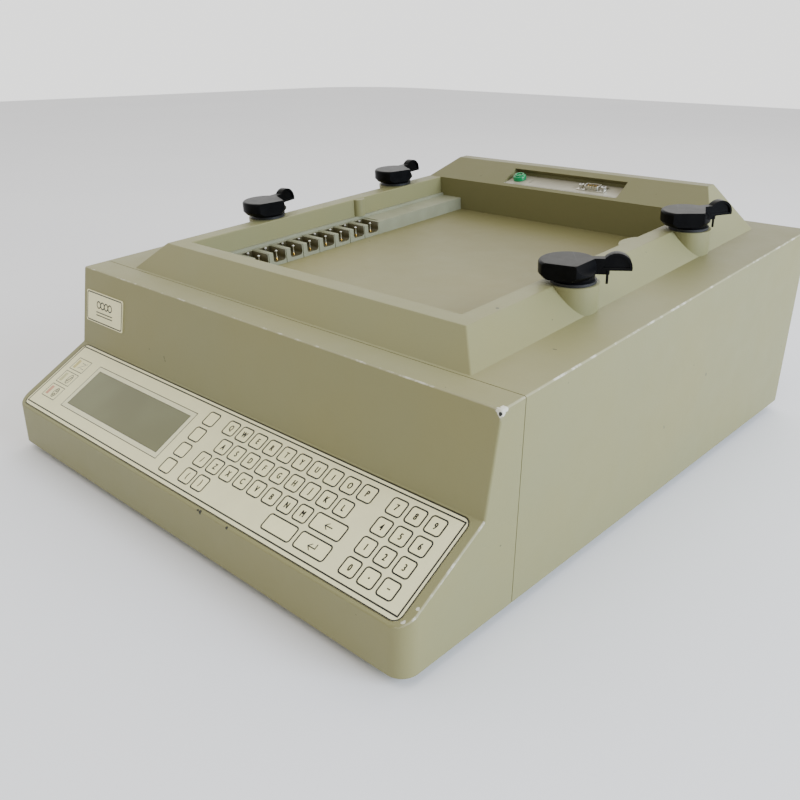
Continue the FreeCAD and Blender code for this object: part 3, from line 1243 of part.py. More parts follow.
def ribbon(name, x, width, route):
    """A flat cable: a band of constant thickness that follows a route in the YZ plane."""
    body = new_body(name)
    back = [(y, f"{z} + 1.2") for y, z in reversed(route)]
    pad(body, name + "_band", "YZ_Plane", x, width, [list(route) + back])
    return body


def make_ribbons():
    """Flat cables from the display board and from the contact boards."""
    display = ribbon("display_ribbon", "-110", "40",
                     [(at_depth("62"), "52"), (at_depth("90"), "56"), (at_depth("125"), "56"),
                      (at_depth("140"), "47.4")])
    sides = []
    for side_name, side in SIDES:
        x = "-131" if side < 0 else "116"
        sides.append(ribbon("contact_ribbon_" + side_name, x, "15",
                            [(at_depth("170"), "117"), (at_depth("200"), "122"),
                             (at_depth("300"), "124"), (at_depth("314"), "112")]))
    node("ribbon_cables", group("ribbon_cables", [display] + sides))


# ---------------------------------------------------------------- assembly

base_screws = make_base_screws()
panel_screws = make_panel_screws()
make_front_cover(base_screws)
make_rear_case(base_screws, panel_screws)
make_base_pan(base_screws)
make_feet()
make_bulkhead()
make_keyboard()
make_display()
make_badge()
make_bay_frame()
make_bay_floor()
make_ledges_and_contacts()
make_clamps()
make_interlock()
make_rear_panel(panel_screws)
make_mains_inlet()
make_rear_ports()
make_fan()
make_power_unit()
make_boards()
make_ribbons()
doc.removeObject("Probe")
doc.recompute()

failed = [o.Name for o in doc.Objects if "Invalid" in o.State or "Error" in o.State]
if failed:
    raise RuntimeError(f"objects failed: {failed}")
os.makedirs("parts", exist_ok=True)
for made in nodes:
    if made.Shape.isNull() or not made.Shape.isValid():
        raise RuntimeError(f"{made.Label} has no valid shape")
    made.Shape.exportStep(f"parts/{made.Label}.step")
print(f"{len(nodes)} sub-parts written")
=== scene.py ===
"""Looks for the bench tester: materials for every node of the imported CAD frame, and new
meshes for the keyboard film and its lamps, the badge print, the contact blocks and pins and
the interlock fittings.

Blender 4.5. Metres, in the CAD's own frame: +X operator's right, +Y rear, +Z up.
"""

import math

import bmesh
import bpy
from mathutils import Matrix, Quaternion, Vector


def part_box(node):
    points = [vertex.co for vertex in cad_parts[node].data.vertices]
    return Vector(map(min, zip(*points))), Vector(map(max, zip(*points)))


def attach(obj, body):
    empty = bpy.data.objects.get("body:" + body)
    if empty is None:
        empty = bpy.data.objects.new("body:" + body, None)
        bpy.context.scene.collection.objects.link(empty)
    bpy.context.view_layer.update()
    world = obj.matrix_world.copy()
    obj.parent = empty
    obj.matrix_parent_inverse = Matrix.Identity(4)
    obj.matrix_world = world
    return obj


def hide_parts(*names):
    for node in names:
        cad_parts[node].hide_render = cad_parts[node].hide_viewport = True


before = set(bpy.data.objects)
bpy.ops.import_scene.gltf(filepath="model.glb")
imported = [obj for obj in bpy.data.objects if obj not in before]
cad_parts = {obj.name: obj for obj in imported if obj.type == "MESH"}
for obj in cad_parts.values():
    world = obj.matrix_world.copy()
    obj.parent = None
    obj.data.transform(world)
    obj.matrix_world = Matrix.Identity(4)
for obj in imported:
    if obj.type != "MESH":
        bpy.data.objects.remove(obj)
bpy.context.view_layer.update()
MM = 0.001

# ---------------------------------------------------------------- places on the object

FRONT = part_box("front_cover")[0].y
TILT = math.radians(3.6)
TOP = 0.1415
LIP_TOP = 0.0418
DESK_RUN, DESK_RISE = 0.0672, 0.0388
BROW_RUN, BROW_RISE = 0.0108, 0.0609
DESK = math.atan2(DESK_RISE, DESK_RUN)
BROW = math.atan2(BROW_RISE + (DESK_RUN + BROW_RUN) * math.tan(TILT), BROW_RUN)
PLATE_ALONG, PLATE_RISE = 0.4728, 0.0219
PLATE_LEAN = math.radians(10.5)


def frame_at(x, y, z, angle):
    return Matrix.Translation((x, y, z)) @ Matrix.Rotation(angle, 4, "X")


bay_place = frame_at(0, FRONT, TOP, TILT)
desk_place = frame_at(0, FRONT, LIP_TOP, DESK)
brow_place = frame_at(0, FRONT + DESK_RUN, LIP_TOP + DESK_RISE, BROW)
plate_place = bay_place @ frame_at(0, PLATE_ALONG, PLATE_RISE, PLATE_LEAN)


# ---------------------------------------------------------------- node materials

def new_material(name):
    made = bpy.data.materials.new(name)
    made.use_nodes = True
    tree = made.node_tree
    tree.nodes.clear()
    out = tree.nodes.new("ShaderNodeOutputMaterial")
    shader = tree.nodes.new("ShaderNodeBsdfPrincipled")
    tree.links.new(shader.outputs[0], out.inputs[0])
    return made, tree, shader


def add(tree, kind, inputs=None, **props):
    """A node with its properties and inputs set; an input may be a value or an output."""
    made = tree.nodes.new(kind)
    for key, setting in props.items():
        setattr(made, key, setting)
    for key, setting in (inputs or {}).items():
        if isinstance(setting, bpy.types.NodeSocket):
            tree.links.new(setting, made.inputs[key])
        else:
            made.inputs[key].default_value = setting
    return made


def math_node(tree, operation, a, b=0.0):
    return add(tree, "ShaderNodeMath", {0: a, 1: b}, operation=operation).outputs[0]


def ramp(tree, factor, low, high):
    """0 below low, 1 above high, smooth between."""
    made = add(tree, "ShaderNodeMapRange", {0: factor, 1: low, 2: high},
               interpolation_type="SMOOTHSTEP")
    return made.outputs[0]


def mix(tree, factor, a, b):
    made = add(tree, "ShaderNodeMix", data_type="RGBA")
    for socket, setting in ((made.inputs[0], factor), (made.inputs[6], a),
                            (made.inputs[7], b)):
        if isinstance(setting, bpy.types.NodeSocket):
            tree.links.new(setting, socket)
        else:
            socket.default_value = setting
    return made.outputs[2]


def noise(tree, scale, detail=4.0, roughness=0.55, vector=None):
    if vector is None:
        vector = add(tree, "ShaderNodeTexCoord").outputs["Object"]
    made = add(tree, "ShaderNodeTexNoise",
               {"Vector": vector, "Scale": scale, "Detail": detail, "Roughness": roughness})
    return made.outputs[0]


def bump(tree, shader, height, distance, strength=1.0):
    made = add(tree, "ShaderNodeBump",
               {"Height": height, "Distance": distance, "Strength": strength})
    tree.links.new(made.outputs[0], shader.inputs["Normal"])


def rgb(r, g, b):
    """Colour from 0 to 255 screen values."""
    linear = [((c / 255 + 0.055) / 1.055) ** 2.4 if c > 10 else c / 255 / 12.92
              for c in (r, g, b)]
    return (*linear, 1.0)


# Chips in the paint: middle and reach in metres, colour shown through.
CHIPS = [
    ((0.2238, -0.1930, 0.1455), 0.0038, (0.66, 0.64, 0.52, 1)),
    ((0.2238, -0.1895, 0.1464), 0.0028, (0.66, 0.64, 0.52, 1)),
    ((0.2240, -0.1935, 0.1440), 0.0015, (0.02, 0.02, 0.015, 1)),
    ((0.2200, -0.2655, 0.0440), 0.0018, (0.60, 0.58, 0.46, 1)),
    ((0.2225, -0.2570, 0.0490), 0.0016, (0.60, 0.58, 0.46, 1)),
    ((0.0420, -0.2705, 0.0415), 0.0016, (0.03, 0.028, 0.02, 1)),
    ((0.0710, -0.2705, 0.0415), 0.0013, (0.03, 0.028, 0.02, 1)),
    ((0.0395, -0.2702, 0.0418), 0.0011, (0.03, 0.028, 0.02, 1)),
]


def edge_mask(tree, coord):
    """1 on the rounded top edges of the covers, 0 on their flat faces."""
    normal = add(tree, "ShaderNodeNewGeometry").outputs["True Normal"]
    split = add(tree, "ShaderNodeSeparateXYZ", {0: normal})
    side = math_node(tree, "ABSOLUTE", split.outputs[0])
    across = math_node(tree, "MULTIPLY", ramp(tree, side, 0.12, 0.4),
                       math_node(tree, "SUBTRACT", 1.0, ramp(tree, side, 0.86, 0.97)))
    upward = ramp(tree, split.outputs[2], 0.15, 0.4)
    forward = math_node(tree, "MULTIPLY", split.outputs[1], -1.0)
    along = math_node(tree, "MULTIPLY", ramp(tree, forward, 0.2, 0.4),
                      math_node(tree, "SUBTRACT", 1.0, ramp(tree, forward, 0.8, 0.93)))
    height = add(tree, "ShaderNodeSeparateXYZ", {0: coord}).outputs[2]
    along = math_node(tree, "MULTIPLY", along, ramp(tree, height, 0.139, 0.142))
    return math_node(tree, "MAXIMUM", math_node(tree, "MULTIPLY", across, upward),
                     math_node(tree, "MULTIPLY", along, 0.8))


def chip_mask(tree, coord, place, reach):
    """1 inside a ragged patch about a point."""
    gap = add(tree, "ShaderNodeVectorMath", {0: coord, 1: place}, operation="DISTANCE")
    ragged = math_node(tree, "MULTIPLY", noise(tree, 420, 3, 0.6, coord), reach * 1.4)
    distance = math_node(tree, "ADD", gap.outputs["Value"], ragged)
    return math_node(tree, "SUBTRACT", 1.0, ramp(tree, distance, reach * 1.45, reach * 1.6))


def paint(name, colour, edge_wear_and_highlight=True):
    """Old textured paint: fine orange peel, faint stains, painted shade that darkens and
    browns it towards the rear, and on worn places pale rubbed and chipped edges, with a
    painted highlight all along the rounded edges."""
    made, tree, shader = new_material(name)
    coord = add(tree, "ShaderNodeTexCoord").outputs["Object"]
    cloud = noise(tree, 9, 3, 0.5, coord)
    fine = noise(tree, 900, 2, 0.6, coord)
    darker = tuple(c * 0.86 for c in colour[:3]) + (1,)
    warmer = (colour[0] * 1.03, colour[1] * 1.0, colour[2] * 0.93, 1)
    base = mix(tree, ramp(tree, cloud, 0.35, 0.7), colour, warmer)
    speck = math_node(tree, "MULTIPLY", ramp(tree, fine, 0.62, 0.75), 0.5)
    base = mix(tree, speck, base, darker)
    grime = ramp(tree, noise(tree, 34, 8, 0.7, coord), 0.6, 0.78)
    base = mix(tree, math_node(tree, "MULTIPLY", grime, 0.22), base, darker)
    nicks = ramp(tree, noise(tree, 130, 2, 0.4, coord), 0.775, 0.79)
    base = mix(tree, math_node(tree, "MULTIPLY", nicks, 0.6), base,
               (0.03, 0.028, 0.02, 1))
    normal = add(tree, "ShaderNodeNewGeometry").outputs["True Normal"]
    facing = add(tree, "ShaderNodeSeparateXYZ", {0: normal})
    sideways = math_node(tree, "MAXIMUM", facing.outputs[1],
                         math_node(tree, "ABSOLUTE", facing.outputs[0]))
    # Painted shade: faces that look up or to the front are darkened and browned towards the
    # rear.
    rearward = ramp(tree, add(tree, "ShaderNodeSeparateXYZ", {0: coord}).outputs[1],
                    -0.08, 0.24)
    rear_shade = math_node(tree, "MULTIPLY", rearward,
                     math_node(tree, "SUBTRACT", 1.0, ramp(tree, sideways, 0.3, 0.6)))
    rear_shade_colour = tuple(c * k for c, k in zip(colour[:3], (0.62, 0.60, 0.50))) + (1,)
    base = mix(tree, math_node(tree, "MULTIPLY", rear_shade, 0.8), base, rear_shade_colour)
    if edge_wear_and_highlight:
        rounded = edge_mask(tree, coord)
        patchy = ramp(tree, noise(tree, 75, 6, 0.7, coord), 0.5, 0.64)
        rubbed = math_node(tree, "MULTIPLY", rounded, patchy)
        # Painted highlight: every rounded edge is paled all along; the patchy rubbed layer
        # and the chips over it are worn paint.
        base = mix(tree, math_node(tree, "MULTIPLY", rounded, 0.3), base,
                   rgb(200, 194, 166))
        base = mix(tree, math_node(tree, "MULTIPLY", rubbed, 0.75), base,
                   rgb(222, 218, 202))
        for place, reach, tone in CHIPS:
            base = mix(tree, chip_mask(tree, coord, place, reach), base, tone)
    tree.links.new(base, shader.inputs["Base Color"])
    rough = add(tree, "ShaderNodeMapRange", {0: noise(tree, 40, 4, 0.6, coord),
                                             3: 0.38, 4: 0.56}).outputs[0]
    tree.links.new(rough, shader.inputs["Roughness"])
    shader.inputs["Specular IOR Level"].default_value = 0.3
    bump(tree, shader, math_node(tree, "ADD", noise(tree, 1300, 1, 0.5, coord),
                                 math_node(tree, "MULTIPLY", noise(tree, 420, 1, 0.5, coord),
                                           1.4)), 0.00006, 0.55)
    return made


def plastic(name, colour, rough=0.45, grain=0.00003, scale=1500, up_face_tint=None, spread=0.12,
            gleam=0.4):
    """Moulded plastic with fine texture, small tone changes and, if asked, a paler mottled
    colour on up-facing faces.
    """
    made, tree, shader = new_material(name)
    coord = add(tree, "ShaderNodeTexCoord").outputs["Object"]
    tone = noise(tree, 60, 4, 0.6, coord)
    lighter = tuple(min(1, c * (1 + spread) + 0.002) for c in colour[:3]) + (1,)
    base = mix(tree, ramp(tree, tone, 0.35, 0.7), colour, lighter)
    if up_face_tint is not None:
        # Up-facing faces are blended towards the given colour, more strongly in mottled
        # spots.
        normal = add(tree, "ShaderNodeNewGeometry").outputs["Normal"]
        up = add(tree, "ShaderNodeSeparateXYZ", {0: normal}).outputs[2]
        spots = ramp(tree, noise(tree, 240, 5, 0.7, coord), 0.3, 0.7)
        amount = math_node(tree, "MULTIPLY", ramp(tree, up, 0.6, 0.98),
                           math_node(tree, "ADD", math_node(tree, "MULTIPLY", spots, 0.4),
                                     0.45))
        base = mix(tree, amount, base, up_face_tint)
    tree.links.new(base, shader.inputs["Base Color"])
    rough_out = add(tree, "ShaderNodeMapRange", {0: noise(tree, 90, 4, 0.6, coord),
                                                 3: rough - 0.08, 4: rough + 0.1}).outputs[0]
    tree.links.new(rough_out, shader.inputs["Roughness"])
    shader.inputs["Specular IOR Level"].default_value = gleam
    bump(tree, shader, noise(tree, scale, 2, 0.5, coord), grain, 0.6)
    return made


def slotted_plastic(name, colour, shade):
    """Block plastic with painted shade on its slot walls, slot floors and slot ends."""
    made, tree, shader = new_material(name)
    coord = add(tree, "ShaderNodeTexCoord").outputs["Object"]
    place = add(tree, "ShaderNodeSeparateXYZ", {0: coord})
    normal = add(tree, "ShaderNodeSeparateXYZ",
                 {0: add(tree, "ShaderNodeNewGeometry").outputs["True Normal"]})
    walls = ramp(tree, math_node(tree, "ABSOLUTE", normal.outputs[1]), 0.3, 0.5)
    square = Vector((0, -math.sin(TILT), math.cos(TILT)))
    height = add(tree, "ShaderNodeVectorMath", {0: coord, 1: square},
                 operation="DOT_PRODUCT").outputs["Value"]
    below = math_node(tree, "SUBTRACT", square.dot(bay_place.translation), height)
    sunk = ramp(tree, below, 0.001, 0.002)
    floors = math_node(tree, "MULTIPLY", sunk, ramp(tree, normal.outputs[2], 0.2, 0.4))
    backs = ramp(tree, math_node(tree, "ABSOLUTE", place.outputs[0]), 0.1394, 0.1400)
    ends = math_node(tree, "MULTIPLY", backs,
                     ramp(tree, math_node(tree, "ABSOLUTE", normal.outputs[0]), 0.5, 0.7))
    # Painted shade: slot walls, sunk slot floors and slot ends take the shade colour.
    inside = math_node(tree, "MAXIMUM", math_node(tree, "MAXIMUM", walls, floors), ends)
    tone = ramp(tree, noise(tree, 300, 4, 0.6, coord), 0.35, 0.7)
    deep = mix(tree, tone, shade, tuple(c * 1.5 for c in shade[:3]) + (1,))
    tree.links.new(mix(tree, inside, colour, deep), shader.inputs["Base Color"])
    shader.inputs["Roughness"].default_value = 0.5
    bump(tree, shader, noise(tree, 1500, 2, 0.5, coord), 0.00003, 0.6)
    return made


def metal(name, colour, rough=0.3, scratch=True):
    """Plated metal with fine scratches and a little tarnish."""
    made, tree, shader = new_material(name)
    coord = add(tree, "ShaderNodeTexCoord").outputs["Object"]
    dull = tuple(c * 0.6 for c in colour[:3]) + (1,)
    base = mix(tree, ramp(tree, noise(tree, 160, 5, 0.6, coord), 0.4, 0.75), colour, dull)
    tree.links.new(base, shader.inputs["Base Color"])
    shader.inputs["Metallic"].default_value = 1.0
    lines = add(tree, "ShaderNodeMapping", {"Vector": coord, "Scale": (60, 900, 60)})
    streak = noise(tree, 3.0, 3, 0.6, lines.outputs[0])
    rough_out = add(tree, "ShaderNodeMapRange", {0: streak, 3: rough - 0.08,
                                                 4: rough + 0.18}).outputs[0]
    tree.links.new(rough_out, shader.inputs["Roughness"])
    if scratch:
        bump(tree, shader, streak, 0.00002, 0.4)
    return made


paint_case = paint("paint_case", rgb(135, 132, 92))
paint_frame = paint("paint_frame", rgb(136, 133, 93), edge_wear_and_highlight=False)
paint_floor = paint("paint_floor", rgb(134, 129, 88), edge_wear_and_highlight=False)
cream = plastic("film_cream", rgb(236, 230, 182), 0.42, 0.00001, 2200, spread=0.04)
cream_light = plastic("film_window_band", rgb(228, 223, 182), 0.42, 0.00001, 2200,
                      spread=0.03)
cream_key = plastic("film_key", rgb(246, 239, 186), 0.40, 0.00001, 2200, spread=0.05)
# This ink also draws the painted shadow line round the keyboard film.
ink = plastic("print_ink", rgb(16, 15, 13), 0.5, 0.00001, 2200)
ink_soft = plastic("print_ink_soft", rgb(104, 102, 84), 0.5, 0.00001, 2200)
black = plastic("knob_black", rgb(10, 10, 11), 0.30, 0.00003, 1700, up_face_tint=rgb(44, 42, 38),
                gleam=0.05)
black_part = plastic("black_plastic", rgb(30, 30, 31), 0.45, 0.00003, 1400)
rubber = plastic("rubber", rgb(34, 33, 32), 0.75, 0.00005, 900)
block_grey = plastic("contact_block", rgb(138, 138, 112), 0.5, 0.00003, 1500)
# The second colour is the painted shade inside the slots.
slotted_grey = slotted_plastic("contact_block_slots", rgb(138, 138, 112), rgb(62, 56, 30))
green = plastic("socket_green", rgb(20, 128, 74), 0.26, 0.00001, 900)
steel = metal("steel_plated", rgb(196, 194, 186), 0.28)
silver = metal("silver_pin", rgb(246, 246, 240), 0.34, scratch=False)
steel_dull = metal("steel_dull", rgb(150, 148, 140), 0.42)
tin = metal("tin_shell", rgb(214, 210, 196), 0.3)
gold = metal("gold_plate", rgb(214, 170, 80), 0.22)
aluminium = metal("aluminium", rgb(190, 190, 190), 0.35)
panel_beige = plastic("interlock_beige", rgb(158, 152, 132), 0.42, 0.00002, 1800)
board_green = plastic("circuit_board", rgb(30, 78, 46), 0.4, 0.00003, 500)
winding = plastic("winding_tape", rgb(120, 92, 40), 0.45, 0.0001, 300)
cable_grey = plastic("ribbon_grey", rgb(120, 120, 118), 0.5, 0.0001, 400)
brass = metal("brass_spacer", rgb(190, 170, 110), 0.35)
chip = plastic("relay_case", rgb(34, 34, 38), 0.35, 0.00002, 900)


def display_material():
    """Reflective liquid crystal cell behind a satin window, with a faint dot grid."""
    made, tree, shader = new_material("display_cell")
    coord = add(tree, "ShaderNodeTexCoord").outputs["Object"]
    split = add(tree, "ShaderNodeSeparateXYZ", {0: coord})
    across = math_node(tree, "MULTIPLY", split.outputs[0], 1900)
    along = math_node(tree, "MULTIPLY", split.outputs[1], 2200)
    dots = math_node(tree, "MINIMUM",
                     ramp(tree, math_node(tree, "ABSOLUTE",
                                          math_node(tree, "SINE", across)), 0.1, 0.4),
                     ramp(tree, math_node(tree, "ABSOLUTE",
                                          math_node(tree, "SINE", along)), 0.1, 0.4))
    patch = ramp(tree, noise(tree, 14, 2, 0.5, coord), 0.3, 0.75)
    base = mix(tree, patch, rgb(104, 103, 60), rgb(117, 118, 76))
    base = mix(tree, math_node(tree, "MULTIPLY", dots, 0.12), base, rgb(90, 92, 62))
    tree.links.new(base, shader.inputs["Base Color"])
    shader.inputs["Roughness"].default_value = 0.22
    shader.inputs["Coat Weight"].default_value = 0.15
    shader.inputs["Coat Roughness"].default_value = 0.15
    bump(tree, shader, noise(tree, 700, 2, 0.5, coord), 0.00001, 0.4)
    return made


display_face = display_material()


def lens_material(name, colour):
    made, tree, shader = new_material(name)
    coord = add(tree, "ShaderNodeTexCoord").outputs["Object"]
    tone = noise(tree, 420, 3, 0.6, coord)
    pale = tuple(min(1, c * 1.25 + 0.03) for c in colour[:3]) + (1,)
    tree.links.new(mix(tree, ramp(tree, tone, 0.4, 0.7), colour, pale),
                   shader.inputs["Base Color"])
    shader.inputs["Roughness"].default_value = 0.3
    shader.inputs["Coat Weight"].default_value = 0.3
    bump(tree, shader, tone, 0.00001, 0.4)
    return made


lens_yellow = lens_material("lens_yellow", rgb(186, 172, 92))
lens_lime = lens_material("lens_lime", rgb(184, 180, 122))
lens_orange = lens_material("lens_orange", rgb(198, 138, 100))


# ---------------------------------------------------------------- mesh helpers

def link(mesh, name, material, place=None):
    made = bpy.data.objects.new(name, mesh)
    bpy.context.scene.collection.objects.link(made)
    if place is not None:
        mesh.transform(place)
    mesh.materials.append(material)
    return made


def smooth(obj, angle=35):
    """Smooth shading that keeps edges sharper than the angle."""
    mesh = obj.data
    for face in mesh.polygons:
        face.use_smooth = True
    made = bmesh.new()
    made.from_mesh(mesh)
    limit = math.radians(angle)
    for edge in made.edges:
        if len(edge.link_faces) == 2 and edge.calc_face_angle(0) > limit:
            edge.smooth = False
    made.to_mesh(mesh)
    made.free()
    return obj


def rounded_rect(cx, cy, width, height, radius, steps=5):
    """Corner points of a rounded rectangle, counter-clockwise, in mm."""
    points = []
    for sx, sy, start in ((1, 1, 0), (-1, 1, 90), (-1, -1, 180), (1, -1, 270)):
        ox = cx + sx * (width / 2 - radius)
        oy = cy + sy * (height / 2 - radius)
        for i in range(steps + 1):
            a = math.radians(start + 90 * i / steps)
            points.append((ox + radius * math.cos(a), oy + radius * math.sin(a)))
    return points


def circle(cx, cy, radius, steps=24):
    return [(cx + radius * math.cos(2 * math.pi * i / steps),
             cy + radius * math.sin(2 * math.pi * i / steps)) for i in range(steps)]


def flat_mesh(loops, low, high, bevel=0.0):
    """Solid sheet between two heights, in mm; loops inside other loops are holes."""
    curve = bpy.data.curves.new("outline", "CURVE")
    curve.dimensions = "2D"
    curve.fill_mode = "BOTH"
    for loop in loops:
        spline = curve.splines.new("POLY")
        spline.points.add(len(loop) - 1)
        for point, (x, y) in zip(spline.points, loop):
            point.co = (x * MM, y * MM, 0, 1)
        spline.use_cyclic_u = True
    curve.extrude = max((high - low) / 2 * MM - bevel * MM, 0)
    curve.bevel_depth = bevel * MM
    curve.bevel_resolution = 1
    curve.offset = -bevel * MM
    holder = bpy.data.objects.new("outline", curve)
    bpy.context.scene.collection.objects.link(holder)
    mesh = bpy.data.meshes.new_from_object(
        holder.evaluated_get(bpy.context.evaluated_depsgraph_get()))
    bpy.data.objects.remove(holder)
    bpy.data.curves.remove(curve)
    mesh.transform(Matrix.Translation((0, 0, (low + high) / 2 * MM)))
    return mesh


def sheet_piece(name, material, place, loops, low, high, body="case", bevel=0.0):
    made = link(flat_mesh(loops, low, high, bevel), name, material, place)
    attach(made, body)
    return made


def glyph_mesh(text, size, x, y, low, squeeze):
    """A character as a thin raised solid centred on x, y, in mm."""
    curve = bpy.data.curves.new("glyph", "FONT")
    curve.body = text
    curve.size = size * MM
    curve.align_x = "CENTER"
    curve.align_y = "CENTER"
    curve.extrude = 0.02 * MM
    holder = bpy.data.objects.new("glyph", curve)
    bpy.context.scene.collection.objects.link(holder)
    mesh = bpy.data.meshes.new_from_object(
        holder.evaluated_get(bpy.context.evaluated_depsgraph_get()))
    bpy.data.objects.remove(holder)
    bpy.data.curves.remove(curve)
    xs = [v.co.x for v in mesh.vertices]
    ys = [v.co.y for v in mesh.vertices]
    centre = ((min(xs) + max(xs)) / 2, (min(ys) + max(ys)) / 2)
    mesh.transform(Matrix.Translation((x * MM, y * MM, low * MM))
                   @ Matrix.Diagonal((squeeze, 1, 1, 1))
                   @ Matrix.Translation((-centre[0], -centre[1], 0)))
    return mesh


def joined(name, meshes, material, place, body="case"):
    """Several meshes as one piece."""
    whole = bmesh.new()
    for mesh in meshes:
        whole.from_mesh(mesh)
        bpy.data.meshes.remove(mesh)
    mesh = bpy.data.meshes.new(name)
    whole.to_mesh(mesh)
    whole.free()
    made = link(mesh, name, material, place)
    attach(made, body)
    return made


def lathe_mesh(profile, steps=32, centre=(0, 0), closed_low=True, closed_high=True):
    """Turned solid about an axis along +z; profile is (radius, height) in mm, low to high."""
    made = bmesh.new()
    rings = []
    for radius, height in profile:
        rings.append([made.verts.new(((centre[0] + radius * math.cos(2 * math.pi * i / steps))
                                      * MM,
                                      (centre[1] + radius * math.sin(2 * math.pi * i / steps))
                                      * MM, height * MM)) for i in range(steps)])
    for low, high in zip(rings, rings[1:]):
        for i in range(steps):
            j = (i + 1) % steps
            made.faces.new((low[i], low[j], high[j], high[i]))
    if closed_low:
        made.faces.new(list(reversed(rings[0])))
    if closed_high:
        made.faces.new(rings[-1])
    bmesh.ops.recalc_face_normals(made, faces=made.faces)
    mesh = bpy.data.meshes.new("turned")
    made.to_mesh(mesh)
    made.free()
    return mesh


# ---------------------------------------------------------------- camera, light and floor

camera = bpy.data.objects.new("camera", bpy.data.cameras.new("camera"))
bpy.context.scene.collection.objects.link(camera)
bpy.context.scene.camera = camera
AZIMUTH, ELEVATION, ROLL = (math.radians(a) for a in (42.4, 23.27, 0.47))
camera.data.lens = 37.66
camera.data.sensor_width = 36
camera.location = (0.463, -0.536, 0.330)
back = Vector((math.sin(AZIMUTH) * math.cos(ELEVATION),
               -math.cos(AZIMUTH) * math.cos(ELEVATION), math.sin(ELEVATION)))
camera.rotation_mode = "QUATERNION"
camera.rotation_quaternion = ((-back).to_track_quat("-Z", "Y")
                              @ Quaternion((0, 0, 1), ROLL))


def area_light(name, place, target, size, power, colour):
    """A round soft light aimed at a point; size in metres, power in watts."""
    lamp = bpy.data.lights.new(name, "AREA")
    lamp.shape = "DISK"
    lamp.size = size
    lamp.energy = power
    lamp.color = colour
    made = bpy.data.objects.new(name, lamp)
    bpy.context.scene.collection.objects.link(made)
    made.location = place
    aim = Vector(target) - Vector(place)
    made.rotation_mode = "QUATERNION"
    made.rotation_quaternion = aim.to_track_quat("-Z", "Y")


MIDDLE = (0.0, 0.0, 0.1)
DECK = (0.0, -0.1, 0.1)
area_light("window_light", (2.2, 0.3, 0.95), MIDDLE, 1.5, 66, (0.84, 0.98, 1.2))
area_light("top_light", (-0.7, 2.0, 1.9), MIDDLE, 1.8, 8, (1.0, 0.95, 0.84))
area_light("front_light", (0.2, -1.3, 2.1), DECK, 1.6, 15, (1.0, 0.97, 0.88))

BRIGHT_SIDE = (-0.6, 0.8, 0.0)
DIMMEST, BRIGHTEST = 0.38, 1.85

world = bpy.data.worlds.new("studio")
bpy.context.scene.world = world
world.use_nodes = True
sky = world.node_tree
towards = add(sky, "ShaderNodeVectorMath",
              {0: add(sky, "ShaderNodeTexCoord").outputs["Generated"], 1: BRIGHT_SIDE},
              operation="DOT_PRODUCT").outputs["Value"]
bright = add(sky, "ShaderNodeMapRange",
             {0: towards, 1: -0.8, 2: 0.8, 3: DIMMEST, 4: BRIGHTEST})
sky.links.new(bright.outputs[0], sky.nodes["Background"].inputs[1])
sky.nodes["Background"].inputs[0].default_value = (0.97, 0.97, 0.96, 1)


def floor_material():
    made, tree, shader = new_material("floor_pale")
    tone = noise(tree, 2.2, 3, 0.5)
    tree.links.new(mix(tree, tone, rgb(244, 243, 243), rgb(238, 237, 239)),
                   shader.inputs["Base Color"])
    shader.inputs["Roughness"].default_value = 0.85
    return made


floor_mesh = flat_mesh([rounded_rect(0, 0, 9000, 9000, 600)], -4, 0)
floor = link(floor_mesh, "floor", floor_material())


# ---------------------------------------------------------------- finishes of the CAD nodes

FINISH = {
    "front_cover": paint_case, "rear_case": paint_case, "bay_frame": paint_frame,
    "bay_floor": paint_floor, "ledge_left": block_grey, "ledge_right": block_grey,
    "rear_panel": paint_case, "base_pan": steel_dull, "bulkhead": steel_dull,
    "rubber_feet": rubber, "base_screws": steel_dull, "rear_panel_screws": steel,
    "clamp_rings": black_part, "display_window": display_face, "display_glass": display_face,
    "display_frame": black_part, "display_board": board_green, "status_lamps": lens_orange,
    "keypad_switch_sheet": cream, "badge_plate": cream, "interlock_panel": panel_beige,
    "interlock_jackscrews": steel, "earth_socket_sleeve": tin, "contact_boards": board_green,
    "fan_housing": black_part, "fan_rotor": black_part, "fan_guard": steel,
    "fan_screws": steel, "mains_inlet": black_part, "fuse_drawer": black_part,
    "power_switch_frame": black_part, "power_rocker": black_part, "rear_ports": tin,
    "earth_stud": brass, "mains_transformer": winding, "transformer_clamp": steel,
    "supply_board": board_green, "amplifier_board": board_green, "heat_sink": aluminium,
    "main_board": board_green, "processor_board": board_green, "board_spacers": brass,
    "relay_board": board_green, "relay_brackets": steel_dull, "relays": chip,
    "ribbon_cables": cable_grey,
}
for end in ("front", "rear"):
    for side in ("left", "right"):
        FINISH[f"clamp_knob_{end}_{side}"] = black
        FINISH[f"clamp_spindle_{end}_{side}"] = steel


def dress(name, material):
    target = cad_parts[name]
    if not target.material_slots:
        target.data.materials.append(material)
    for one in target.material_slots:
        one.material = material


for name, material in FINISH.items():
    dress(name, material)


def soften(name, width, segments=2, angle=30):
    """Rounds a carried node's sharp edges in the picture; its vertices stay as they are."""
    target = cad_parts[name]
    weld = target.modifiers.new("weld", "WELD")
    weld.merge_threshold = 0.000005
    edge = target.modifiers.new("edge", "BEVEL")
    edge.width = width * MM
    edge.segments = segments
    edge.limit_method = "ANGLE"
    edge.angle_limit = math.radians(angle)
    edge.harden_normals = True


for end in ("front", "rear"):
    for side in ("left", "right"):
        soften(f"clamp_knob_{end}_{side}", 0.7, 3)


# ---------------------------------------------------------------- keyboard film

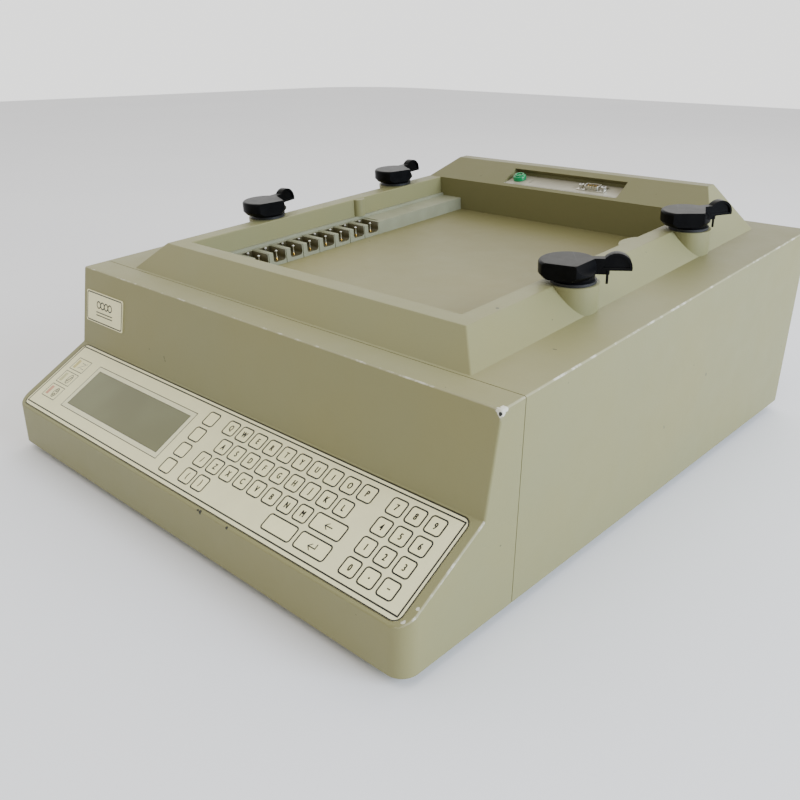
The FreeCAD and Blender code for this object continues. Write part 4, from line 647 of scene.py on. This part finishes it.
# Left, right, low and high edges, in mm from the middle of the desk's front edge.
FILM = (-217.6, 217.6, 3.4, 75.6)
WINDOW = (-168.0, -36.5, 20.8, 57.8)
BAND = (-173.2, -31.9, 16.5, 62)
BAND_INNER = (-168.3, -36.2, 20.5, 58.1)
LAMPS = [(-202.6, 55.1 - 15.75 * i) for i in range(3)]


def rect_loop(left, right, low, high, radius):
    return rounded_rect((left + right) / 2, (low + high) / 2, right - left, high - low,
                        radius)


def outline(left, right, low, high, radius, line):
    """A line that follows a rounded rectangle's outside; printed lines and the painted shadow
    round the film are drawn with it.
    """
    return [rect_loop(left, right, low, high, radius),
            rect_loop(left + line, right - line, low + line, high - line,
                      max(radius - line, 0.05))]


film_loops = [rect_loop(*FILM, 5.6), rect_loop(*WINDOW, 0.4)]
for x, s in LAMPS:
    film_loops.append(rect_loop(x - 2, x + 2, s - 4.5, s + 4.5, 0.3))
film = sheet_piece("keyboard_film", cream, desk_place, film_loops, -0.5, 0.0)
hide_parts("keypad_overlay")

band = sheet_piece("keyboard_window_band", cream_light, desk_place,
                   [rect_loop(*BAND, 0.6), rect_loop(*BAND_INNER, 0.4)], 0.0, 0.015)

KEY = 12.8
WIDE_KEY = 27.8
STEP = 15.24
LINE = 1.1
# A legend is struck four times, a little apart, so that its strokes are heavy.
STRIKES = [(-0.27, 0.0), (0.27, 0.0), (0.0, 0.12), (0.0, -0.12)]
keys = []
for i, letter in enumerate("QWERTYUIOP"):
    keys.append((7.8 + STEP * i, 62.8, KEY, letter))
for i, letter in enumerate("ASDFGHJKL"):
    keys.append((15.2 + STEP * i, 47.6, KEY, letter))
for i, letter in enumerate("/ZXCVBNM"):
    keys.append((7.45 + STEP * i, 32.4, KEY, letter))
for i, letter in enumerate("()"):
    keys.append((7.8 + 15.1 * i, 17.1, KEY, letter))
for i in range(4):
    keys.append((-15.7, 62.5 - STEP * i, KEY, ""))
for x, s, legend in ((106.5, 17.3, ""), (137, 32.7, "back"), (136.9, 17.4, "enter")):
    keys.append((x, s, WIDE_KEY, legend))
for row, digits in enumerate(("789", "456", "123", "0.-")):
    for i, digit in enumerate(digits):
        keys.append((169.3 + STEP * i, 63.1 - 15.2 * row, KEY, digit))

fills = []
lines = []
legends = []
for x, s, width, legend in keys:
    low, high = s - KEY / 2, s + KEY / 2
    left, right = x - width / 2, x + width / 2
    fills.append(flat_mesh([rect_loop(left + 0.4, right - 0.4, low + 0.4, high - 0.4, 2.4)],
                           0.0, 0.02))
    lines.append(flat_mesh(outline(left, right, low, high, 2.7, LINE), 0.0, 0.05))
    if legend == "back":
        legends.append(flat_mesh([[(x - 3.2, s), (x - 0.4, s + 2.4), (x + 0.5, s + 2.4),
                                   (x - 1.6, s + 0.4), (x + 3.6, s + 0.4),
                                   (x + 3.6, s - 0.4), (x - 1.6, s - 0.4),
                                   (x + 0.5, s - 2.4), (x - 0.4, s - 2.4)]], 0.02, 0.06))
    elif legend == "enter":
        legends.append(flat_mesh([[(x - 3.6, s - 0.9), (x - 0.8, s + 1.5), (x + 0.1, s + 1.5),
                                   (x - 2.0, s - 0.5), (x + 2.6, s - 0.5),
                                   (x + 2.6, s + 2.6), (x + 3.4, s + 2.6),
                                   (x + 3.4, s - 1.3), (x - 2.0, s - 1.3),
                                   (x + 0.1, s - 3.3), (x - 0.8, s - 3.3)]], 0.02, 0.06))
    elif legend == ".":
        legends.append(flat_mesh([circle(x, s, 0.7, 12)], 0.02, 0.06))
    elif legend == "-":
        legends.append(flat_mesh([rect_loop(x - 1.2, x + 1.2, s - 0.4, s + 0.4, 0.1)],
                                 0.02, 0.06))
    elif legend:
        for across, up in STRIKES:
            legends.append(glyph_mesh(legend, 6.5, x + across, s + up, 0.04, squeeze=0.66))
joined("key_fills", fills, cream_key, desk_place)

lines.append(flat_mesh(outline(-215.6, 215.6, 6.2, 73.4, 0.25, 1.1), 0.0, 0.05))
# The outermost line is painted shadow in the gap round the film's edge; the line inside it is
# the printed border.
lines.append(flat_mesh(outline(-217.95, 217.95, 3.05, 75.95, 5.9, 0.7), 0.0, 0.05))
joined("key_outlines_and_gap_shadow", lines, ink, desk_place)
joined("key_legends", legends, ink, desk_place)

thin = [flat_mesh(outline(-173.4, -31.7, 16.3, 62.2, 0.4, 0.6), 0.0, 0.04),
        flat_mesh(outline(-168.2, -36.3, 20.6, 58.0, 0.3, 0.35), 0.0, 0.04)]
joined("window_lines", thin, ink, desk_place)


def oval(cx, cy, wide, high, steps=22):
    return [(cx + wide / 2 * math.cos(2 * math.pi * i / steps),
             cy + high / 2 * math.sin(2 * math.pi * i / steps)) for i in range(steps)]


def bar(x0, y0, x1, y1, width):
    """A straight printed stroke."""
    run = Vector((x1 - x0, y1 - y0)).normalized()
    across = Vector((-run.y, run.x)) * width / 2
    return [(x0 + across.x, y0 + across.y), (x0 - across.x, y0 - across.y),
            (x1 - across.x, y1 - across.y), (x1 + across.x, y1 + across.y)]


SIGN_X = -193.2
soft = []
signs = []
for low, high in ((48.5, 61.7), (32.8, 46.0), (16.5, 30.3)):
    signs.append(flat_mesh(outline(-207.0, -186.3, low, high, 0.3, 0.55), 0.0, 0.04))
    middle = (low + high) / 2
    if low < 48:
        signs.append(flat_mesh([oval(SIGN_X, middle, 6.0, 9.8),
                                oval(SIGN_X, middle, 4.7, 8.5)], 0.0, 0.04))
for stroke in ((-197.5, 51.7, -189.5, 58.5), (-197.0, 57.7, -192.0, 57.7),
               (-193.5, 52.5, -189.0, 52.5)):
    soft.append(flat_mesh([bar(*stroke, 0.5)], 0.0, 0.04))
signs.append(flat_mesh([bar(-194.4, 36.4, -192.0, 42.4, 1.1)], 0.0, 0.04))
for height in (25.4, 21.4):
    signs.append(flat_mesh([circle(SIGN_X, height, 1.5, 16), circle(SIGN_X, height, 0.8, 16)],
                           0.0, 0.04))
joined("status_boxes", soft, ink_soft, desk_place)
joined("status_signs", signs, ink, desk_place)

for (x, s), material, tag in zip(LAMPS, (lens_yellow, lens_lime, lens_orange),
                                 ("top", "middle", "low")):
    lens = sheet_piece("status_lens_" + tag, material, desk_place,
                       [rect_loop(x - 1.95, x + 1.95, s - 4.45, s + 4.45, 0.35)],
                       -1.6, 0.02, bevel=0.12)
    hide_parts("status_lenses")


# ---------------------------------------------------------------- badge

badge = []
bx, by = -189.0, 34.8
PRINT = (0.8, 0.85)
badge.append(flat_mesh(outline(bx - 28.2, bx + 28.2, by - 12.7, by + 12.7, 2.4, 1.0),
                       *PRINT))
for i in range(4):
    badge.append(flat_mesh([circle(bx - 9 + 6 * i, by + 3, 3.4, 24),
                            circle(bx - 9 + 6 * i, by + 3, 2.3, 24)], *PRINT))
for shift in (-3.6, -6.2):
    badge.append(flat_mesh([bar(bx - 13, by + shift, bx + 13, by + shift, 0.9)], *PRINT))
joined("badge_print", badge, ink, brow_place)


# ---------------------------------------------------------------- contact blocks and pins

# Turns a side outline (along the bay, up) with its thickness across the bay.
SIDE_ON = Matrix(((0, 0, 1, 0), (1, 0, 0, 0), (0, 1, 0, 0), (0, 0, 0, 1)))
PITCH = 20.15
ROWS = [149.5 + PITCH * i for i in range(10)]
BLOCK_BASE, BLOCK_TOP = -12.0, 0.5
SLOT_FLOOR, SLOT_HALF = -8.5, 6.9
BLOCK_FRONT, BLOCK_LIP = 140.0, 7.9
BLOCK_INNER, SLOT_END, BLOCK_OUTER = 118.7, 140.6, 143.4
PIN_REACHES = (123.0, 138.0)


def comb_loop(front, rear, slot_front, slot_rear):
    """Side outline of a contact block: a deep slot with rounded bottom corners."""
    radius = 2.4
    points = [(front, BLOCK_BASE), (rear, BLOCK_BASE), (rear, BLOCK_TOP),
              (slot_rear, BLOCK_TOP)]
    for i in range(6):
        a = math.radians(-90 * i / 5)
        points.append((slot_rear - radius + radius * math.cos(a),
                       SLOT_FLOOR + radius + radius * math.sin(a)))
    for i in range(6):
        a = math.radians(270 - 90 * i / 5)
        points.append((slot_front + radius + radius * math.cos(a),
                       SLOT_FLOOR + radius + radius * math.sin(a)))
    points.extend([(slot_front, BLOCK_TOP), (front, BLOCK_TOP)])
    return points


def x_span(side, inner, outer):
    """Low and high across the bay, on the left (-1) or the right (1)."""
    return (inner, outer) if side > 0 else (-outer, -inner)


for tag, side in (("left", -1), ("right", 1)):
    blocks = []
    for along in ROWS:
        rear = along + BLOCK_LIP
        front = max(rear - PITCH + 0.4, BLOCK_FRONT)
        low, high = x_span(side, BLOCK_INNER, SLOT_END)
        comb = comb_loop(front, rear, along - SLOT_HALF, along + SLOT_HALF)
        blocks.append(flat_mesh([comb], low, high, bevel=0.2))
        low, high = x_span(side, SLOT_END - 0.1, BLOCK_OUTER)
        wall = [(front, BLOCK_BASE), (rear, BLOCK_BASE), (rear, BLOCK_TOP),
                (front, BLOCK_TOP)]
        blocks.append(flat_mesh([wall], low, high, bevel=0.2))
    whole = joined("contact_blocks_" + tag, blocks, slotted_grey, bay_place @ SIDE_ON)
    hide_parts("contact_blocks")
    rods, tips = [], []
    for along in ROWS:
        for reach in PIN_REACHES:
            spot = (side * reach, along)
            rods.append(lathe_mesh([(0.6, -6.4), (0.6, -1.0), (1.1, -0.5), (1.2, 0.2),
                                    (0.8, 0.6), (0.1, 0.7)], 14, spot))
            tips.append(lathe_mesh([(1.0, BLOCK_BASE), (1.0, -7.4), (0.6, -6.3)], 14, spot))
    rod = smooth(joined("contact_rods_" + tag, rods, silver, bay_place), 50)
    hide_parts("contact_pins")
    smooth(joined("contact_tips_" + tag, tips, gold, bay_place), 50)


# ---------------------------------------------------------------- interlock fittings

PORT_X, SOCKET_X, UP = 34.7, -52.3, 13.5
SCREW_REACH, FLANGE = 12.495, 0.8


def d_loop(grow, steps=4):
    """Outline of a nine-way D shell, wider at the top, with rounded corners."""
    corners = [(8.4, 4.1), (-8.4, 4.1), (-7.2, -4.1), (7.2, -4.1)]
    points = []
    radius = 1.6
    for i, (x, y) in enumerate(corners):
        before = Vector(corners[i - 1])
        after = Vector(corners[(i + 1) % 4])
        here = Vector((x, y))
        a = here + (before - here).normalized() * radius
        b = here + (after - here).normalized() * radius
        for k in range(steps + 1):
            t = k / steps
            spot = a * (1 - t) ** 2 + here * 2 * t * (1 - t) + b * t ** 2
            scale = 1 + grow / spot.length
            points.append((PORT_X + spot.x * scale, UP + spot.y * scale))
    return points


flange = [rect_loop(PORT_X - 15.3, PORT_X + 15.3, UP - 6.1, UP + 6.1, 1.4)]
for shift in (-SCREW_REACH, SCREW_REACH):
    flange.append(circle(PORT_X + shift, UP, 1.4, 16))
port = sheet_piece("port_flange", tin, plate_place, flange, 0.0, FLANGE, bevel=0.1)
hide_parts("interlock_connector")
shell_parts = [flat_mesh([d_loop(0.0), d_loop(-0.5)], FLANGE, 4.2, bevel=0.08)]
for i in range(5):
    x = PORT_X + (i - 2) * 2.9
    for y in (UP + 4.25, UP - 4.25):
        shell_parts.append(flat_mesh([rect_loop(x - 0.5, x + 0.5, y - 0.45, y + 0.45, 0.3)],
                                     1.0, 3.6, bevel=0.1))
joined("port_shell", shell_parts, tin, plate_place)
core = sheet_piece("port_insulator", black_part, plate_place, [d_loop(-0.7)], 0.6, 1.2)
needles = []
for count, y in ((5, 1.42), (4, -1.42)):
    for i in range(count):
        needles.append(lathe_mesh([(0.5, 1.0), (0.5, 3.1), (0.3, 3.4)], 10,
                                  (PORT_X + (i - (count - 1) / 2) * 2.77, UP + y)))
joined("port_contacts", needles, gold, plate_place)

collar = lathe_mesh([(3.15, -3.0), (3.15, 4.4), (3.2, 5.6), (3.7, 6.1), (4.5, 6.1),
                     (4.9, 5.7), (4.9, 4.9), (5.5, 4.8), (6.4, 4.4), (6.7, 4.0), (6.7, 0.2),
                     (6.5, 0.0), (4.8, 0.0), (4.8, -3.0)], 40, (SOCKET_X, UP), False, False)
stem = lathe_mesh([(1.7, -1.0), (1.7, 5.0), (1.2, 5.5), (0.2, 5.6)], 20, (SOCKET_X, UP))
socket = link(collar, "earth_socket_collar", green, plate_place)
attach(socket, "case")
smooth(socket, 40)
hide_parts("earth_socket")
smooth(joined("earth_socket_stem", [stem], green, plate_place), 40)

EARTH_X = -37.0
plate_lines = [flat_mesh(outline(-63.6, 67.6, 1.4, 25.0, 0.4, 0.6), 0.0, 0.04)]
for stroke in ((EARTH_X, 11.0, EARTH_X, 17.0), (EARTH_X - 2.4, 11.0, EARTH_X + 2.4, 11.0),
               (EARTH_X - 1.6, 9.6, EARTH_X + 1.6, 9.6),
               (EARTH_X - 0.8, 8.2, EARTH_X + 0.8, 8.2)):
    plate_lines.append(flat_mesh([bar(*stroke, 0.45)], 0.0, 0.04))
joined("interlock_border", plate_lines, ink_soft, plate_place)
